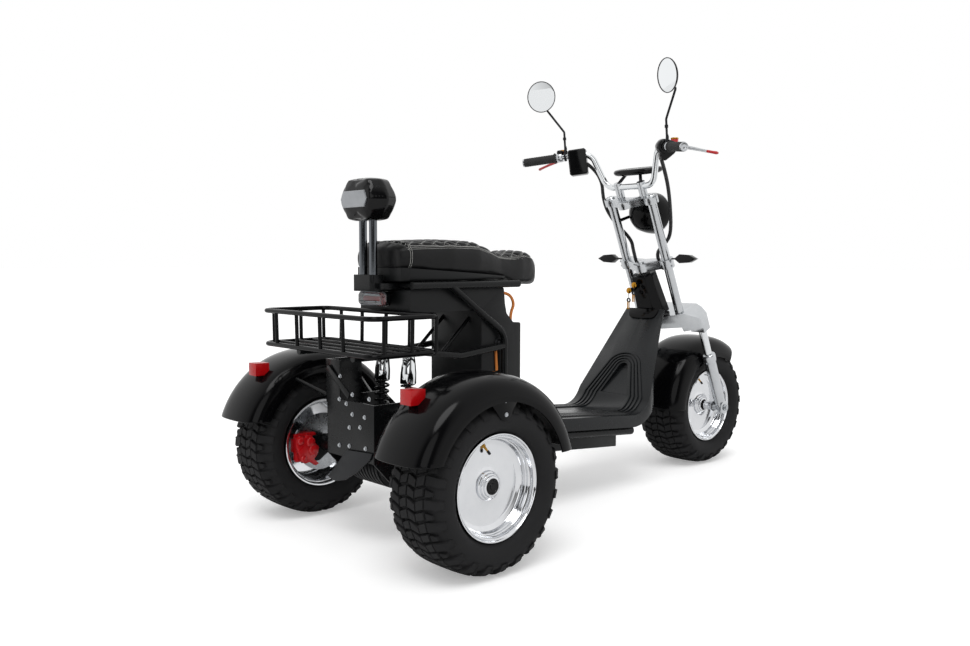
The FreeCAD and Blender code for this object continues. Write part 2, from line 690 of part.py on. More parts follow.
def build_fork():
    """The steering stem, clamps, tubes, crown, legs and axle."""
    ring = size.tube_radius + size.clamp_ring_wall
    spacing, forward = size.tube_half_spacing, size.tube_forward
    upper_top = size.upper_clamp_rise + size.upper_clamp_thickness
    upper = clamp_plate(size.upper_clamp_rise, size.upper_clamp_thickness, ring)
    riser_height = size.bar_rise - upper_top
    risers = []
    for side in (-1, 1):
        foot = Vector(side * size.riser_half_spacing, size.bar_forward, upper_top - size.overrun)
        post = Part.makeCylinder(size.riser_radius, riser_height + size.overrun + size.riser_cap_half, foot)
        foot_pad = Part.makeCylinder(size.riser_radius, size.upper_clamp_thickness,
                                     Vector(foot.x, foot.y, size.upper_clamp_rise))
        risers += [post, foot_pad]
    bar_hole = Part.makeCylinder(size.bar_radius, 2 * size.bar_base_half,
                                 Vector(-size.bar_base_half, size.bar_forward, size.bar_rise), X_AXIS)
    holes = [Part.makeCylinder(size.tube_radius, size.upper_clamp_thickness + 2 * size.overrun,
                               Vector(side * spacing, forward, size.upper_clamp_rise - size.overrun))
             for side in (-1, 1)]
    place_on_fork(feature("upper_clamp", fuse([upper] + risers).cut([bar_hole] + holes)))

    lower = clamp_plate(-size.lower_clamp_drop, size.lower_clamp_thickness, ring)
    stem = Part.makeCylinder(size.stem_radius, crown_bottom * -1, Vector(0, 0, crown_bottom))
    place_on_fork(feature("lower_clamp", lower.fuse(stem).removeSplitter()))

    tube_length = upper_top - crown_top + size.crown_thickness / 2
    tube_foot = crown_top - size.crown_thickness / 2
    tubes = [Part.makeCylinder(size.tube_radius, tube_length, Vector(side * spacing, forward, tube_foot))
             for side in (-1, 1)]
    place_on_fork(feature("fork_tubes", Part.makeCompound(tubes)))

    wide, leg_out, leg_ahead = size.crown_half_width, size.leg_half_spacing, size.leg_forward
    boss = size.crown_boss_radius
    front = leg_ahead + boss
    plan = crown_plan()
    plate = polygon([(x, y, crown_bottom - size.crown_boss_drop) for x, y in plan])
    plate = plate.extrude(Vector(0, 0, size.crown_thickness + size.crown_boss_drop))
    upright = [edge for edge in plate.Edges if abs(edge.tangentAt(0).z) > 0.99]
    plate = plate.makeFillet(boss / 4, upright)
    drop, half_boss = size.crown_end_drop, boss / 2
    arch_share = 0.22
    face_view = [
        (0, crown_top), (spacing + ring, crown_top), (wide - half_boss, crown_top - drop * 0.6),
        (wide + size.overrun, crown_top - drop), (wide + size.overrun, boss_bottom), (leg_out - boss, boss_bottom),
        (leg_out - boss - half_boss / 2, crown_bottom), (0, crown_bottom + size.crown_thickness * arch_share),
    ]
    face_view += [(-x, z) for x, z in reversed(face_view[1:-1])]
    face_plate = polygon([(x, -2 * front, z) for x, z in face_view]).extrude(Vector(0, 4 * front, 0))
    ends = []
    for side in (-1, 1):
        skirt = block((0, 2 * wide), (-front, leg_ahead - boss), (boss_bottom - size.overrun, crown_bottom - drop / 2))
        ends.append(skirt if side > 0 else mirrored(skirt))
    stem_hole = Part.makeCylinder(size.stem_radius, size.crown_thickness + 2 * size.overrun,
                                  Vector(0, 0, crown_bottom - size.overrun))
    tube_holes = [Part.makeCylinder(size.tube_radius, size.crown_thickness,
                                    Vector(side * spacing, forward, tube_foot)) for side in (-1, 1)]
    leg_holes = [Part.makeCylinder(size.stanchion_radius, size.crown_thickness / 2 + size.crown_boss_drop
                                   + size.overrun, Vector(side * leg_out, leg_ahead, boss_bottom - size.overrun))
                 for side in (-1, 1)]
    crown = plate.common(face_plate).cut(ends + [stem_hole] + tube_holes + leg_holes)
    place_on_fork(feature("fork_crown", crown))

    stanchions = []
    legs = []
    lug_bottom = axle_rise - size.axle_lug_radius
    hole_top = boss_bottom - size.overrun + size.crown_thickness / 2 + size.crown_boss_drop + size.overrun
    for side in (-1, 1):
        centre = Vector(side * leg_out, leg_ahead, 0)
        bury = size.leg_collar_height
        stanchions.append(Part.makeCylinder(size.stanchion_radius, hole_top - leg_top + bury,
                                            centre + Vector(0, 0, leg_top - bury)))
        tube = Part.makeCone(size.leg_radius * 0.86, size.leg_radius, leg_top - axle_rise,
                             centre + Vector(0, 0, axle_rise))
        collar = Part.makeCylinder(size.leg_collar_radius, size.leg_collar_height,
                                   centre + Vector(0, 0, leg_top - size.leg_collar_height))
        lug = Part.makeCylinder(size.axle_lug_radius, 2 * size.leg_radius * 0.86,
                                Vector(centre.x - size.leg_radius * 0.86, axle_forward, axle_rise), X_AXIS)
        socket = Part.makeCylinder(size.stanchion_radius, bury + size.overrun, centre + Vector(0, 0, leg_top - bury))
        axle_hole = Part.makeCylinder(size.axle_radius, 4 * size.leg_radius,
                                      Vector(centre.x - 2 * size.leg_radius, axle_forward, axle_rise), X_AXIS)
        legs.append(fuse([tube, collar, lug]).cut([socket, axle_hole]))
    place_on_fork(feature("fork_stanchions", Part.makeCompound(stanchions)))
    place_on_fork(feature("fork_legs", Part.makeCompound(legs)))

    reach = leg_out + size.leg_radius + size.overrun
    place_on_fork(feature("front_axle", Part.makeCylinder(
        size.axle_radius, 2 * reach, Vector(-reach, axle_forward, axle_rise), X_AXIS)))


build_fork()
swept_room = steering_room()

guard = fender(size.front_fender_radius, size.front_fender_half, size.front_fender_skirt, size.fender_sheet,
               FRONT_FENDER_FROM, FRONT_FENDER_TO)
leg_room = []
for side in (-1, 1):
    foot_y, foot_z = off_fork(size.leg_forward, axle_rise)
    head_y, head_z = off_fork(size.leg_forward, boss_bottom)
    leg_room.append(rod([(side * size.leg_half_spacing, foot_y - size.wheelbase, foot_z - size.tyre_radius),
                         (side * size.leg_half_spacing, head_y - size.wheelbase, head_z - size.tyre_radius)],
                        size.leg_collar_radius + size.seat_gap))
place(feature("front_fender", guard.cut(leg_room)), "0", "Sizes.wheelbase", "Sizes.tyre_radius")


# Handlebar and what it carries, placed from the bar's middle in the trike's own side view.
bar_y, bar_z = off_fork(size.bar_forward, size.bar_rise)


def bar_points(side):
    """The bar's corners from its middle out to one end."""
    return [
        Vector(0, bar_y, bar_z),
        Vector(side * size.bar_base_half, bar_y, bar_z),
        Vector(side * size.bar_bend_out, bar_y - size.bar_bend_back, bar_z + size.bar_bend_up),
        Vector(side * size.bar_end_out, bar_y - size.bar_end_back, bar_z + size.bar_end_up),
    ]


def along_grip(side, from_end):
    """A point on the bar's outer run, measured inwards from its end, and the run's outward direction."""
    end, bend = bar_points(side)[3], bar_points(side)[2]
    outward = (end - bend).normalize()
    return end - outward * from_end, outward


def ring(outer, length, start, direction, inner):
    """A sleeve round the bar."""
    sleeve = Part.makeCylinder(outer, length, start, direction)
    return sleeve.cut(Part.makeCylinder(inner, length + 2 * size.overrun, start - direction * size.overrun, direction))


def build_handlebar():
    """The chrome bar with grips, switch boxes, levers and mirrors."""
    left, right = bar_points(-1), bar_points(1)
    path = list(reversed(left[1:])) + right[1:]
    bar = rod([tuple(point) for point in path], size.bar_radius, size.bar_bend_radius)
    place(feature("handlebar", bar))
    grips, levers, glasses, stems = [], [], [], []
    housings = {}
    bore = size.bar_radius
    gap = size.overrun / 5
    for side in (-1, 1):
        start, outward = along_grip(side, size.grip_length)
        grip = ring(size.grip_radius, size.grip_length, start, outward, bore)
        end_cap = Part.makeCylinder(size.grip_radius, size.overrun, start + outward * size.grip_length, outward)
        flange = ring(size.grip_flange_radius, size.overrun, start, outward, bore)
        grips.append(fuse([grip, end_cap, flange]))

        start, outward = along_grip(side, size.grip_length + gap + size.perch_length)
        middle = start + outward * (size.perch_length / 2)
        ahead = Z_AXIS.cross(outward).normalize() * side
        perch = ring(size.perch_radius, size.perch_length, start, outward, bore)
        arm_start = middle + ahead * (bore + gap)
        arm = Part.makeCylinder(size.lever_thickness, size.lever_reach - bore, arm_start, ahead)
        pivot = middle + ahead * size.lever_reach
        reach = Rotation(Z_AXIS, side * size.lever_spread).multVec(outward) - Z_AXIS * 0.12
        lever = Part.makeCone(size.lever_thickness, size.lever_thickness / 2, size.lever_length, pivot, reach)
        levers.append(fuse([perch, arm, lever]))

        length = size.housing_length
        start, outward = along_grip(side, size.grip_length + size.perch_length + size.control_gap + length)
        if side < 0:
            depth, height = (-size.switch_behind, size.switch_ahead), (-size.switch_below, size.switch_above)
        else:
            depth, height = (-size.throttle_behind, size.throttle_ahead), (-size.throttle_below, size.throttle_above)
        shell = block(sorted((0, side * length)), depth, height)
        shell = shell.makeChamfer(size.housing_chamfer, shell.Edges)
        shell.Placement = Placement(start, Rotation(X_AXIS, outward * side))
        housings[side] = shell.cut(bar)

        foot, outward = along_grip(side, size.grip_length + size.perch_length + size.control_gap / 2)
        facing = Rotation(Z_AXIS, side * -size.mirror_yaw).multVec(Rotation(X_AXIS, size.mirror_pitch).multVec(-Y_AXIS))
        head = Vector(side * size.mirror_out, bar_y - size.mirror_behind_bar, bar_z + size.mirror_above_bar)
        bend = Vector(foot.x, foot.y - size.mirror_lean, foot.z + size.mirror_foot_height)
        stalk = size.mirror_stalk_radius
        below = facing.cross(X_AXIS).normalize() * -1
        below = below if below.z < 0 else below * -1
        behind = head + below * (size.mirror_radius * 0.75) - facing * (size.mirror_depth + 5 * stalk)
        back = head + below * (size.mirror_radius * 0.4) - facing * (size.mirror_depth - stalk)
        collar = ring(size.grip_radius, size.control_gap / 3, foot - outward * (size.control_gap / 6), outward, bore)
        stem = rod([tuple(foot + Z_AXIS * (bore + gap)), tuple(bend), tuple(behind), tuple(back)], stalk, 2.5 * stalk)
        lens = size.mirror_radius - size.mirror_glass
        shell = Part.makeCylinder(size.mirror_radius, size.mirror_depth, head - facing * size.mirror_depth, facing)
        pocket = Part.makeCylinder(lens, size.mirror_glass + size.overrun, head - facing * size.mirror_glass, facing)
        stems.append(fuse([shell.cut(pocket), stem, collar]))
        glasses.append(Part.makeCylinder(lens, size.mirror_glass, head - facing * size.mirror_glass, facing))
    place(feature("grips", Part.makeCompound(grips)))
    place(feature("brake_levers", Part.makeCompound(levers)))
    place(feature("switch_box", housings[-1]))
    place(feature("throttle_housing", housings[1]))
    place(feature("mirrors", Part.makeCompound(stems)))
    place(feature("mirror_glass", Part.makeCompound(glasses)))
    return [housings[-1], housings[1]]


housing_shapes = build_handlebar()


DISPLAY_SIDES = 28
LAMP_SIDES = 24


def turned_facets(profile):
    """A bowl about the Y axis made of flat facets; the profile is (radius, along) from pole to pole."""
    faces = []
    step = 2 * math.pi / LAMP_SIDES

    def at(point, station):
        angle = step * station
        return Vector(point[0] * math.cos(angle), point[1], point[0] * math.sin(angle))

    for station in range(LAMP_SIDES):
        for first, last in zip(profile, profile[1:]):
            corners = [at(first, station), at(last, station), at(last, station + 1), at(first, station + 1)]
            if first[0] == 0:
                corners = corners[:3]
            if last[0] == 0:
                corners = corners[:2] + corners[3:]
            faces.append(polygon(corners))
    return solid_of(faces)


def solid_of(faces):
    """The closed solid that flat faces enclose."""
    shell = Part.makeShell(faces)
    shell.sewShape()
    solid = Part.makeSolid(shell)
    if solid.Volume < 0:
        solid.reverse()
    return solid


def stacked_facets(rings):
    """A closed form of flat facets through rings of points, each ring flat and similar to the next."""
    faces = [polygon(rings[0]), polygon(rings[-1])]
    for lower, upper in zip(rings, rings[1:]):
        for index in range(len(lower)):
            after = (index + 1) % len(lower)
            faces.append(polygon([lower[index], lower[after], upper[after], upper[index]]))
    return solid_of(faces)


def build_front_instruments():
    """Display pod over the bar, headlight between the fork tubes, and the front turn signals."""
    display_y, display_z = bar_y + size.display_ahead, bar_z + size.display_above_bar
    half_w, half_d, thick = size.display_half_width, size.display_half_depth, size.display_thickness
    rings = []
    for height, share in ((-0.5, 0.80), (-0.1, 0.96), (0.2, 1.0), (0.5, 0.93)):
        points = []
        for index in range(DISPLAY_SIDES):
            angle = 2 * math.pi * (index + 0.5) / DISPLAY_SIDES
            points.append(Vector(half_w * share * math.cos(angle), half_d * share * math.sin(angle), thick * height))
        rings.append(points)
    pod = stacked_facets(rings)
    pod.Placement = Placement(Vector(0, display_y, display_z), Rotation(X_AXIS, size.display_tilt))
    stems = []
    for side in (-1, 1):
        foot_y, foot_z = off_fork(size.bar_forward, size.bar_rise + size.bar_radius)
        stems.append(rod([(side * size.riser_half_spacing, foot_y, foot_z),
                          (side * size.riser_half_spacing / 2, display_y - half_d / 3, display_z)],
                         size.lever_thickness))
    risers = [off_fork_shape(PIECES["upper_clamp"].Shape)]
    stems = [max(stem.cut(risers).Solids, key=lambda solid: solid.CenterOfMass.z) for stem in stems]
    place(feature("display", fuse([pod] + stems)))

    radius, length = size.headlight_radius, size.headlight_length
    lamp_y, lamp_z = off_fork(size.headlight_forward, size.headlight_rise)
    profile = [(0, -length * 0.62), (radius * 0.45, -length * 0.56), (radius * 0.8, -length * 0.36),
               (radius * 0.97, -length * 0.05), (radius, length * 0.3), (0, length * 0.3)]
    bowl = turned_facets(profile)
    lens_profile = [(0, length * 0.3), (radius * 0.9, length * 0.3), (radius * 0.6, length * 0.36), (0, length * 0.39)]
    lens = turned_facets(lens_profile)
    for shape in (bowl, lens):
        shape.translate(Vector(0, lamp_y, lamp_z))
    arms = []
    tube_room = []
    for side in (-1, 1):
        start_y, start_z = off_fork(size.tube_forward + size.tube_radius, size.headlight_rise)
        arms.append(rod([(side * size.tube_half_spacing, start_y, start_z),
                         (side * radius * 0.7, lamp_y, lamp_z)], 2 * size.lever_thickness / 2))
        low_y, low_z = off_fork(size.tube_forward, crown_top)
        high_y, high_z = off_fork(size.tube_forward, size.upper_clamp_rise)
        tube_room.append(rod([(side * size.tube_half_spacing, low_y, low_z),
                              (side * size.tube_half_spacing, high_y, high_z)], size.tube_radius + size.seat_gap))
    bowl = fuse([bowl] + arms).cut(tube_room)
    place(feature("headlight", bowl))
    place(feature("headlight_lens", lens))

    signals = []
    stalk_y, stalk_z = off_fork(size.tube_forward, -size.lower_clamp_drop + size.lower_clamp_thickness)
    for side in (-1, 1):
        root = Vector(side * (size.tube_half_spacing + size.tube_radius + size.clamp_ring_wall), stalk_y, stalk_z)
        end = Vector(side * size.signal_out, stalk_y, stalk_z)
        stalk = rod([tuple(root), tuple(end)], size.lever_thickness / 2)
        half = size.signal_half_length
        leaf = [(0, 0), (half * 0.5, half * 0.36), (half * 1.4, half * 0.3), (half * 2, 0),
                (half * 1.4, -half * 0.3), (half * 0.5, -half * 0.36)]
        body = polygon([(side * x, -half * 0.25, z) for x, z in leaf]).extrude(Vector(0, half * 0.5, 0))
        body.translate(end - Vector(side * size.overrun, 0, 0))
        signals.append(fuse([stalk, body]))
    place(feature("turn_signals", Part.makeCompound(signals)))


build_front_instruments()


# The looms from the two switch boxes, as shares of the tube spacing, the tubes' forward offset and the
# bar's rise; each ends on the lower clamp.
LOOM_SHARES = {
    "left": [(-1.81, 1.16, 1.374), (-1.75, 2.66, 1.145), (-1.80, 1.92, 0.757), (-1.40, 1.66, 0.492),
             (-0.765, 1.78, 0.233), (-0.49, 0.85, 0.11), (-0.49, 0.85, 0.0)],
    "right": [(2.05, 0.66, 1.354), (1.88, 1.33, 1.108), (1.64, 1.75, 0.768), (1.333, 1.72, 0.3075),
              (0.87, 1.78, 0.15), (0.60, 1.05, 0.08), (0.60, 1.05, 0.0)],
}


def build_looms():
    """Sleeved control cables, bent with arcs as large as their runs leave room for."""
    looms = []
    for shares in LOOM_SHARES.values():
        points = []
        for x, f, s in shares:
            y, z = off_fork(f * size.tube_forward, s * size.bar_rise)
            points.append((x * size.tube_half_spacing, y, z))
        y, z = off_fork(shares[-1][1] * size.tube_forward, size.lower_clamp_thickness - size.lower_clamp_drop + size.seat_gap)
        points[-1] = (points[-1][0], y, z)
        looms.append(rod(points, size.loom_radius, size.wheelbase))
    return Part.makeCompound(looms).cut(housing_shapes)


place(feature("control_cables", build_looms()))


# Neck, footboard, frame and battery box.
RIB_COUNT = 4


def footboard_line(depth, rear_cut=0.0):
    """The rider's side of the board in side view, sunk by depth: deck, bend, apron."""
    thick = Vector(0, size.deck_rear + rear_cut, size.deck_height_rear)
    corner = Vector(0, size.deck_bend, size.deck_height_front)
    top = Vector(0, size.apron_top_y, size.apron_top_z)
    deck = (corner - thick).normalize()
    apron = (top - corner).normalize()
    def normal(direction):
        return Vector(0, direction.z, -direction.y)
    start = thick + normal(deck) * depth
    end = top + normal(apron) * depth
    bisector = (normal(deck) + normal(apron)).normalize()
    bend = corner + bisector * (depth / bisector.dot(normal(deck)))
    return [tuple(start), tuple(bend), tuple(end)]


def board_profile(depth_low, depth_high, half_width, radius_share=1.0, rear_cut=0.0):
    """A band of the board between two depths, as wide as the given half width."""
    upper = rounded_path(footboard_line(depth_low, rear_cut), size.deck_bend_radius * radius_share + depth_low)
    lower = rounded_path(footboard_line(depth_high, rear_cut), size.deck_bend_radius * radius_share + depth_high)
    joins = [Part.LineSegment(upper.Vertexes[0].Point, lower.Vertexes[0].Point).toShape(),
             Part.LineSegment(upper.Vertexes[-1].Point, lower.Vertexes[-1].Point).toShape()]
    edges = Part.__sortEdges__(upper.Edges + lower.Edges + joins)
    face = Part.Face(Part.Wire(edges))
    face.translate(Vector(-half_width, 0, 0))
    return face.extrude(Vector(2 * half_width, 0, 0))


def arch(radius, drop):
    """A tall arch over the apron, its legs parallel to the board's edges, from drop below the bend's upper end."""
    lean = math.atan2(size.deck_half_width - size.apron_top_half,
                      (size.apron_top_y + 2 * size.deck_thickness - size.deck_bend - size.deck_bend_radius / 2)
                      * (size.apron_top_z - size.deck_height_front) / (size.apron_top_y - size.deck_bend))
    centre_z, foot_z = size.apron_top_z - size.arch_centre_drop, size.deck_height_front + size.arch_foot_rise - drop
    side_x, side_z = radius * math.cos(lean), centre_z + radius * math.sin(lean)
    foot_x = side_x + (side_z - foot_z) * math.tan(lean)
    y = size.deck_rear
    foot, side = Vector(foot_x, y, foot_z), Vector(side_x, y, side_z)
    over_foot, over_side = Vector(-foot_x, y, foot_z), Vector(-side_x, y, side_z)
    top = Vector(0, y, centre_z + radius)
    edges = [Part.LineSegment(over_foot, foot).toShape(), Part.LineSegment(foot, side).toShape(),
             Part.Arc(side, top, over_side).toShape(), Part.LineSegment(over_side, over_foot).toShape()]
    return Part.Face(Part.Wire(edges)).extrude(Vector(0, 2 * size.wheelbase, 0)), foot_x


def board_rib(radius):
    """One rib that comes along the deck, sweeps up the apron and closes over the recess in an arch."""
    half = size.rib_width / 2
    outer, outer_x = arch(radius + half, 0.0)
    inner, inner_x = arch(radius - half, size.overrun)
    foot_z = size.deck_height_front + size.arch_foot_rise
    strip = block((inner_x, outer_x), (size.deck_rear + size.deck_thickness, 2 * size.deck_bend), (0, foot_z))
    skin = board_profile(-size.rib_height, size.rib_height, size.deck_half_width)
    return [skin.common(outer.cut(inner))] + [skin.common(leg) for leg in both_sides(strip)]


def build_footboard():
    """Moulded footboard that sweeps up into the apron, with nested ribs round a long recess."""
    board = board_profile(0.0, size.deck_thickness, size.deck_half_width)
    far = 2 * size.wheelbase
    wide, bend_y = size.deck_half_width, size.deck_bend + size.deck_bend_radius / 2
    front_y = size.apron_top_y + 2 * size.deck_thickness
    taper = polygon([(size.apron_top_half, front_y, 0), (wide, bend_y, 0), (wide + size.overrun, bend_y, 0),
                     (wide + size.overrun, front_y, 0)]).extrude(Vector(0, 0, far))
    pocket, _ = arch(size.recess_radius, 0.0)
    recess = pocket.common(board_profile(-size.rib_height, size.rib_height, wide))
    ribs = []
    for index in range(RIB_COUNT):
        ribs += board_rib(size.recess_radius + (index + 1) * size.rib_pitch)
    clearing = down_tube(size.frame_tube_radius * DOWN_TUBE_SHARE + size.seat_gap)
    room = [taper, mirrored(taper), recess, clearing, head_tube(size.head_tube_radius + size.seat_gap), swept_room]
    board = fuse([board] + ribs).cut(room)
    return sorted(board.Solids, key=lambda solid: solid.Volume)[-1]


def pivot_point():
    """Where the rear cross tube runs, at the lower end of the seat posts."""
    start, bend, _ = [Vector(*point) for point in footboard_line(size.deck_thickness + size.frame_tube_radius)]
    slope = (bend.z - start.z) / (bend.y - start.y)
    return Vector(0, size.frame_post_y, start.z + slope * (size.frame_post_y - start.y))


def head_tube(radius):
    """The steering head's outer form."""
    top_y, top_z = off_fork(0, -size.head_tube_top)
    foot_y, foot_z = off_fork(0, head_bottom)
    return rod([(0, foot_y, foot_z), (0, top_y, top_z)], radius)


# The down tube's radius as a share of the other frame tubes'.
DOWN_TUBE_SHARE = 1.2


def down_tube(radius):
    """The tube from the head tube down in front of the apron and under the deck."""
    top_y, top_z = off_fork(0, head_bottom + size.head_tube_length / 3)
    neck_y, neck_z = off_fork(-2.2 * size.head_tube_radius, head_bottom)
    depth = size.deck_thickness + size.frame_tube_radius * DOWN_TUBE_SHARE
    start, bend, end = [Vector(*point) for point in footboard_line(depth)]
    front_share = 0.55
    foot = bend + (start - bend).normalize() * (size.deck_tube_setback + 3 * size.frame_tube_radius)
    return rod([(0, top_y, top_z), (0, neck_y, neck_z), tuple(bend + (end - bend) * front_share), tuple(bend),
                tuple(foot)], radius, size.deck_bend_radius / 2)


place(feature("footboard", build_footboard()))

DECK_SLOPE = "((Sizes.deck_height_rear - Sizes.deck_height_front) / (Sizes.deck_bend - Sizes.deck_rear))"
BOX_TOP = "(Sizes.deck_height_rear - Sizes.deck_thickness - Sizes.seat_gap)"
battery_rear_top = f"{BOX_TOP} - (Sizes.battery_rear - Sizes.deck_rear) * {DECK_SLOPE}"
battery_front_top = f"{BOX_TOP} - (Sizes.battery_front - Sizes.deck_rear) * {DECK_SLOPE}"
place(padded("battery_box", "YZ_Plane", [
    ("Sizes.battery_rear", f"{battery_rear_top} - Sizes.battery_depth"), ("Sizes.battery_rear", battery_rear_top),
    ("Sizes.battery_front", battery_front_top), ("Sizes.battery_front", f"{battery_front_top} - Sizes.battery_depth"),
], "2 * Sizes.battery_half_width"))


def seat_box_profile():
    """The seat box in side view: a tray under the saddle whose front slants down into the column."""
    slant = size.seat_box_slant
    return [
        (size.seat_box_rear, size.seat_box_top), (size.seat_box_front, size.seat_box_top),
        (size.seat_box_front + size.overrun, size.column_top + 2 * slant),
        (size.column_front - 2 * slant, size.column_top + slant), (size.column_front - slant, size.column_top),
        (size.column_front, size.column_top), (size.column_front, size.column_bottom),
        (size.column_rear, size.column_bottom), (size.column_rear, size.seat_box_bottom),
        (size.seat_box_rear, size.seat_box_bottom),
    ]


def build_frame():
    """Welded tube frame: head tube, down tube, deck rails, seat posts, seat rails and basket arms."""
    tube, thin, rail = size.frame_tube_radius, size.seat_rail_radius, size.frame_rail_half
    top_y, top_z = off_fork(0, size.overrun - size.head_tube_top)
    foot_y, foot_z = off_fork(0, head_bottom - size.overrun)
    bore = rod([(0, foot_y, foot_z), (0, top_y, top_z)], size.stem_radius + size.stem_fit)
    rail_start, rail_bend, _ = [Vector(*point) for point in footboard_line(size.deck_thickness + tube)]
    back = (rail_start - rail_bend).normalize()
    low = rail_bend + back * size.deck_tube_setback
    high = pivot_point()
    seat_z, arm_z, post_y = size.seat_rail_height, size.arm_height, size.frame_post_y

    def across(y, z, radius=size.cross_tube_radius):
        return rod([(-rail, y, z), (rail, y, z)], radius)

    tie, tail = low + back * (2 * tube), high + back * (2 * tube)
    inset = thin
    cross = [across(tie.y, tie.z), across(high.y, high.z, size.pivot_tube_radius), across(inset, seat_z),
             across(size.seat_rail_front - inset, seat_z), across(size.shock_high_y, arm_z),
             across(size.gusset_y, arm_z - size.arm_dip)]
    rails = []
    for side in (-1, 1):
        x = side * rail
        rails.append(rod([(x, low.y, low.z), (x, tail.y, tail.z)], tube))
        rails.append(rod([(x, 0, seat_z), (x, size.seat_rail_front, seat_z)], thin))
        rails.append(rod([(x, post_y, high.z), (x, post_y, size.brace_bend_z), (x, size.brace_top_y, seat_z)],
                         size.post_tube_radius, 4 * tube))
        rails.append(rod([(x, post_y, arm_z), (x, size.gusset_y + tube, arm_z - size.arm_dip),
                          (x, size.shock_high_y, arm_z), (x, size.arm_rear, arm_z)], size.arm_radius, 4 * tube))
        rails.append(rod([(side * size.gusset_half, size.gusset_y, arm_z - size.arm_dip),
                          (side * size.gusset_half, size.column_rear + tube, size.seat_box_bottom - tube)], thin / 2))
    gap = size.seat_gap
    half = size.seat_box_half_width + gap
    column_room = block((-half, half), (size.column_rear - gap, size.column_front), (size.column_bottom, seat_z))
    frame = fuse([head_tube(size.head_tube_radius), down_tube(tube * DOWN_TUBE_SHARE)] + cross[:2] + rails)
    gussets_cut = frame.cut([bore, column_room])
    return fuse([gussets_cut] + cross[2:])


place(feature("main_frame", build_frame()))


def build_shroud():
    """Gloss hood round the head tube, hollow below, from under the lower clamp down over the apron's top."""
    wall = size.fender_sheet
    length = size.head_tube_length - 2 * size.overrun
    unit = size.head_tube_radius
    plan_shares = [(-1.45, -1.7), (1.45, -1.7), (2.0, -0.2), (1.9, 1.4), (1.1, 2.2), (-1.1, 2.2), (-1.9, 1.4), (-2.0, -0.2)]
    top_share = 0.78

    def loft(shrink, low, high):
        sections = []
        for share, rise in ((1.0, low), (top_share, high)):
            points = [Vector(x * unit * share - math.copysign(shrink, x), y * unit * share - math.copysign(shrink, y), rise)
                      for x, y in plan_shares]
            sections.append(Part.makePolygon(points + points[:1]))
        return Part.makeLoft(sections, True, True)

    inner = loft(wall, -size.overrun, length - wall)
    bore = Part.makeCylinder(size.head_tube_radius + size.overrun / 5, 2 * length, ORIGIN)
    hood = loft(0.0, 0.0, length).cut([inner, bore])
    foot_y, foot_z = off_fork(0, head_bottom + size.overrun)
    hood.Placement = Placement(Vector(0, foot_y, foot_z), Rotation(X_AXIS, size.fork_rake))
    clearing = down_tube(size.frame_tube_radius * DOWN_TUBE_SHARE + size.overrun / 5)
    hood = settled(hood).cut([board_profile(0.0, size.deck_thickness, size.deck_half_width), clearing, swept_room])
    return sorted(hood.Solids, key=lambda solid: solid.Volume)[-1]


place(feature("neck_cover", build_shroud()))


# Seat box, saddle and backrest.
def build_seat_box():
    """Battery housing under the saddle with a ribbed column at its front."""
    half = size.seat_box_half_width
    body = polygon([(-half, y, z) for y, z in seat_box_profile()]).extrude(Vector(2 * half, 0, 0))
    long_edges = [edge for edge in body.Edges if abs(edge.tangentAt(0).x) > 0.99]
    body = body.makeFillet(size.column_rib, long_edges)
    ribs = []
    count = 7
    reach = 0.9 * half
    pitch = 2 * reach / count
    for index in range(1, count):
        middle = pitch * index - reach
        ribs.append(block((middle - size.column_rib / 2, middle + size.column_rib / 2),
                          (size.column_front - size.overrun, size.column_front + size.column_rib),
                          (size.column_bottom + 2 * size.overrun, size.column_top - 2 * size.overrun)))
    return fuse([body] + ribs)


seat_box_shape = build_seat_box()
place(feature("seat_box", seat_box_shape))

# The charging lead in side view, as shares of its loop's reach and height from its socket.
LEAD_SHARES = [(0.0, 0.0), (0.62, 0.0), (1.0, -0.38), (0.74, -0.7), (0.74, -1.0)]
lead = [(size.lead_across, size.seat_box_front + along * size.lead_loop_reach,
         size.column_top + size.seat_gap + (1 + up) * size.lead_loop_height) for along, up in LEAD_SHARES]
place(feature("charging_lead", rod(lead, size.lead_radius, size.wheelbase).cut(seat_box_shape)))

# Saddle side view: (share of length from the rear, top as a share of height, width share).
SADDLE_SHARES = [
    (0.00, 0.80, 0.74), (0.05, 0.95, 0.94), (0.30, 1.00, 1.00), (0.47, 0.98, 0.97), (0.57, 0.84, 0.88),
    (0.65, 0.70, 0.79), (0.73, 0.69, 0.74), (0.82, 0.76, 0.70), (0.91, 0.73, 0.60), (0.97, 0.58, 0.44),
    (1.00, 0.32, 0.28),
]


def build_saddle():
    """The saddle's closed soft form, lofted along its length."""
    length = size.saddle_front - size.saddle_rear
    sections = []
    for along, top, wide in SADDLE_SHARES:
        y = size.saddle_rear + along * length
        half = wide * size.saddle_half_width
        height = top * size.saddle_height
        corner_share, edge_share, base_share = 0.86, 0.66, 0.9
        low_share, shoulder_share, crown_share = 0.35, 0.9, 0.5
        right = [(half * base_share, 0), (half, height * low_share), (half, height * edge_share),
                 (half * corner_share, height * shoulder_share), (half * crown_share, height)]
        points = [(-x, z) for x, z in right] + list(reversed(right))
        ring_points = [Vector(x, y, size.saddle_base + z) for x, z in points]
        sections.append(Part.makePolygon(ring_points + [ring_points[0]]))
    return Part.makeLoft(sections, True, True)


place(feature("saddle", build_saddle()))


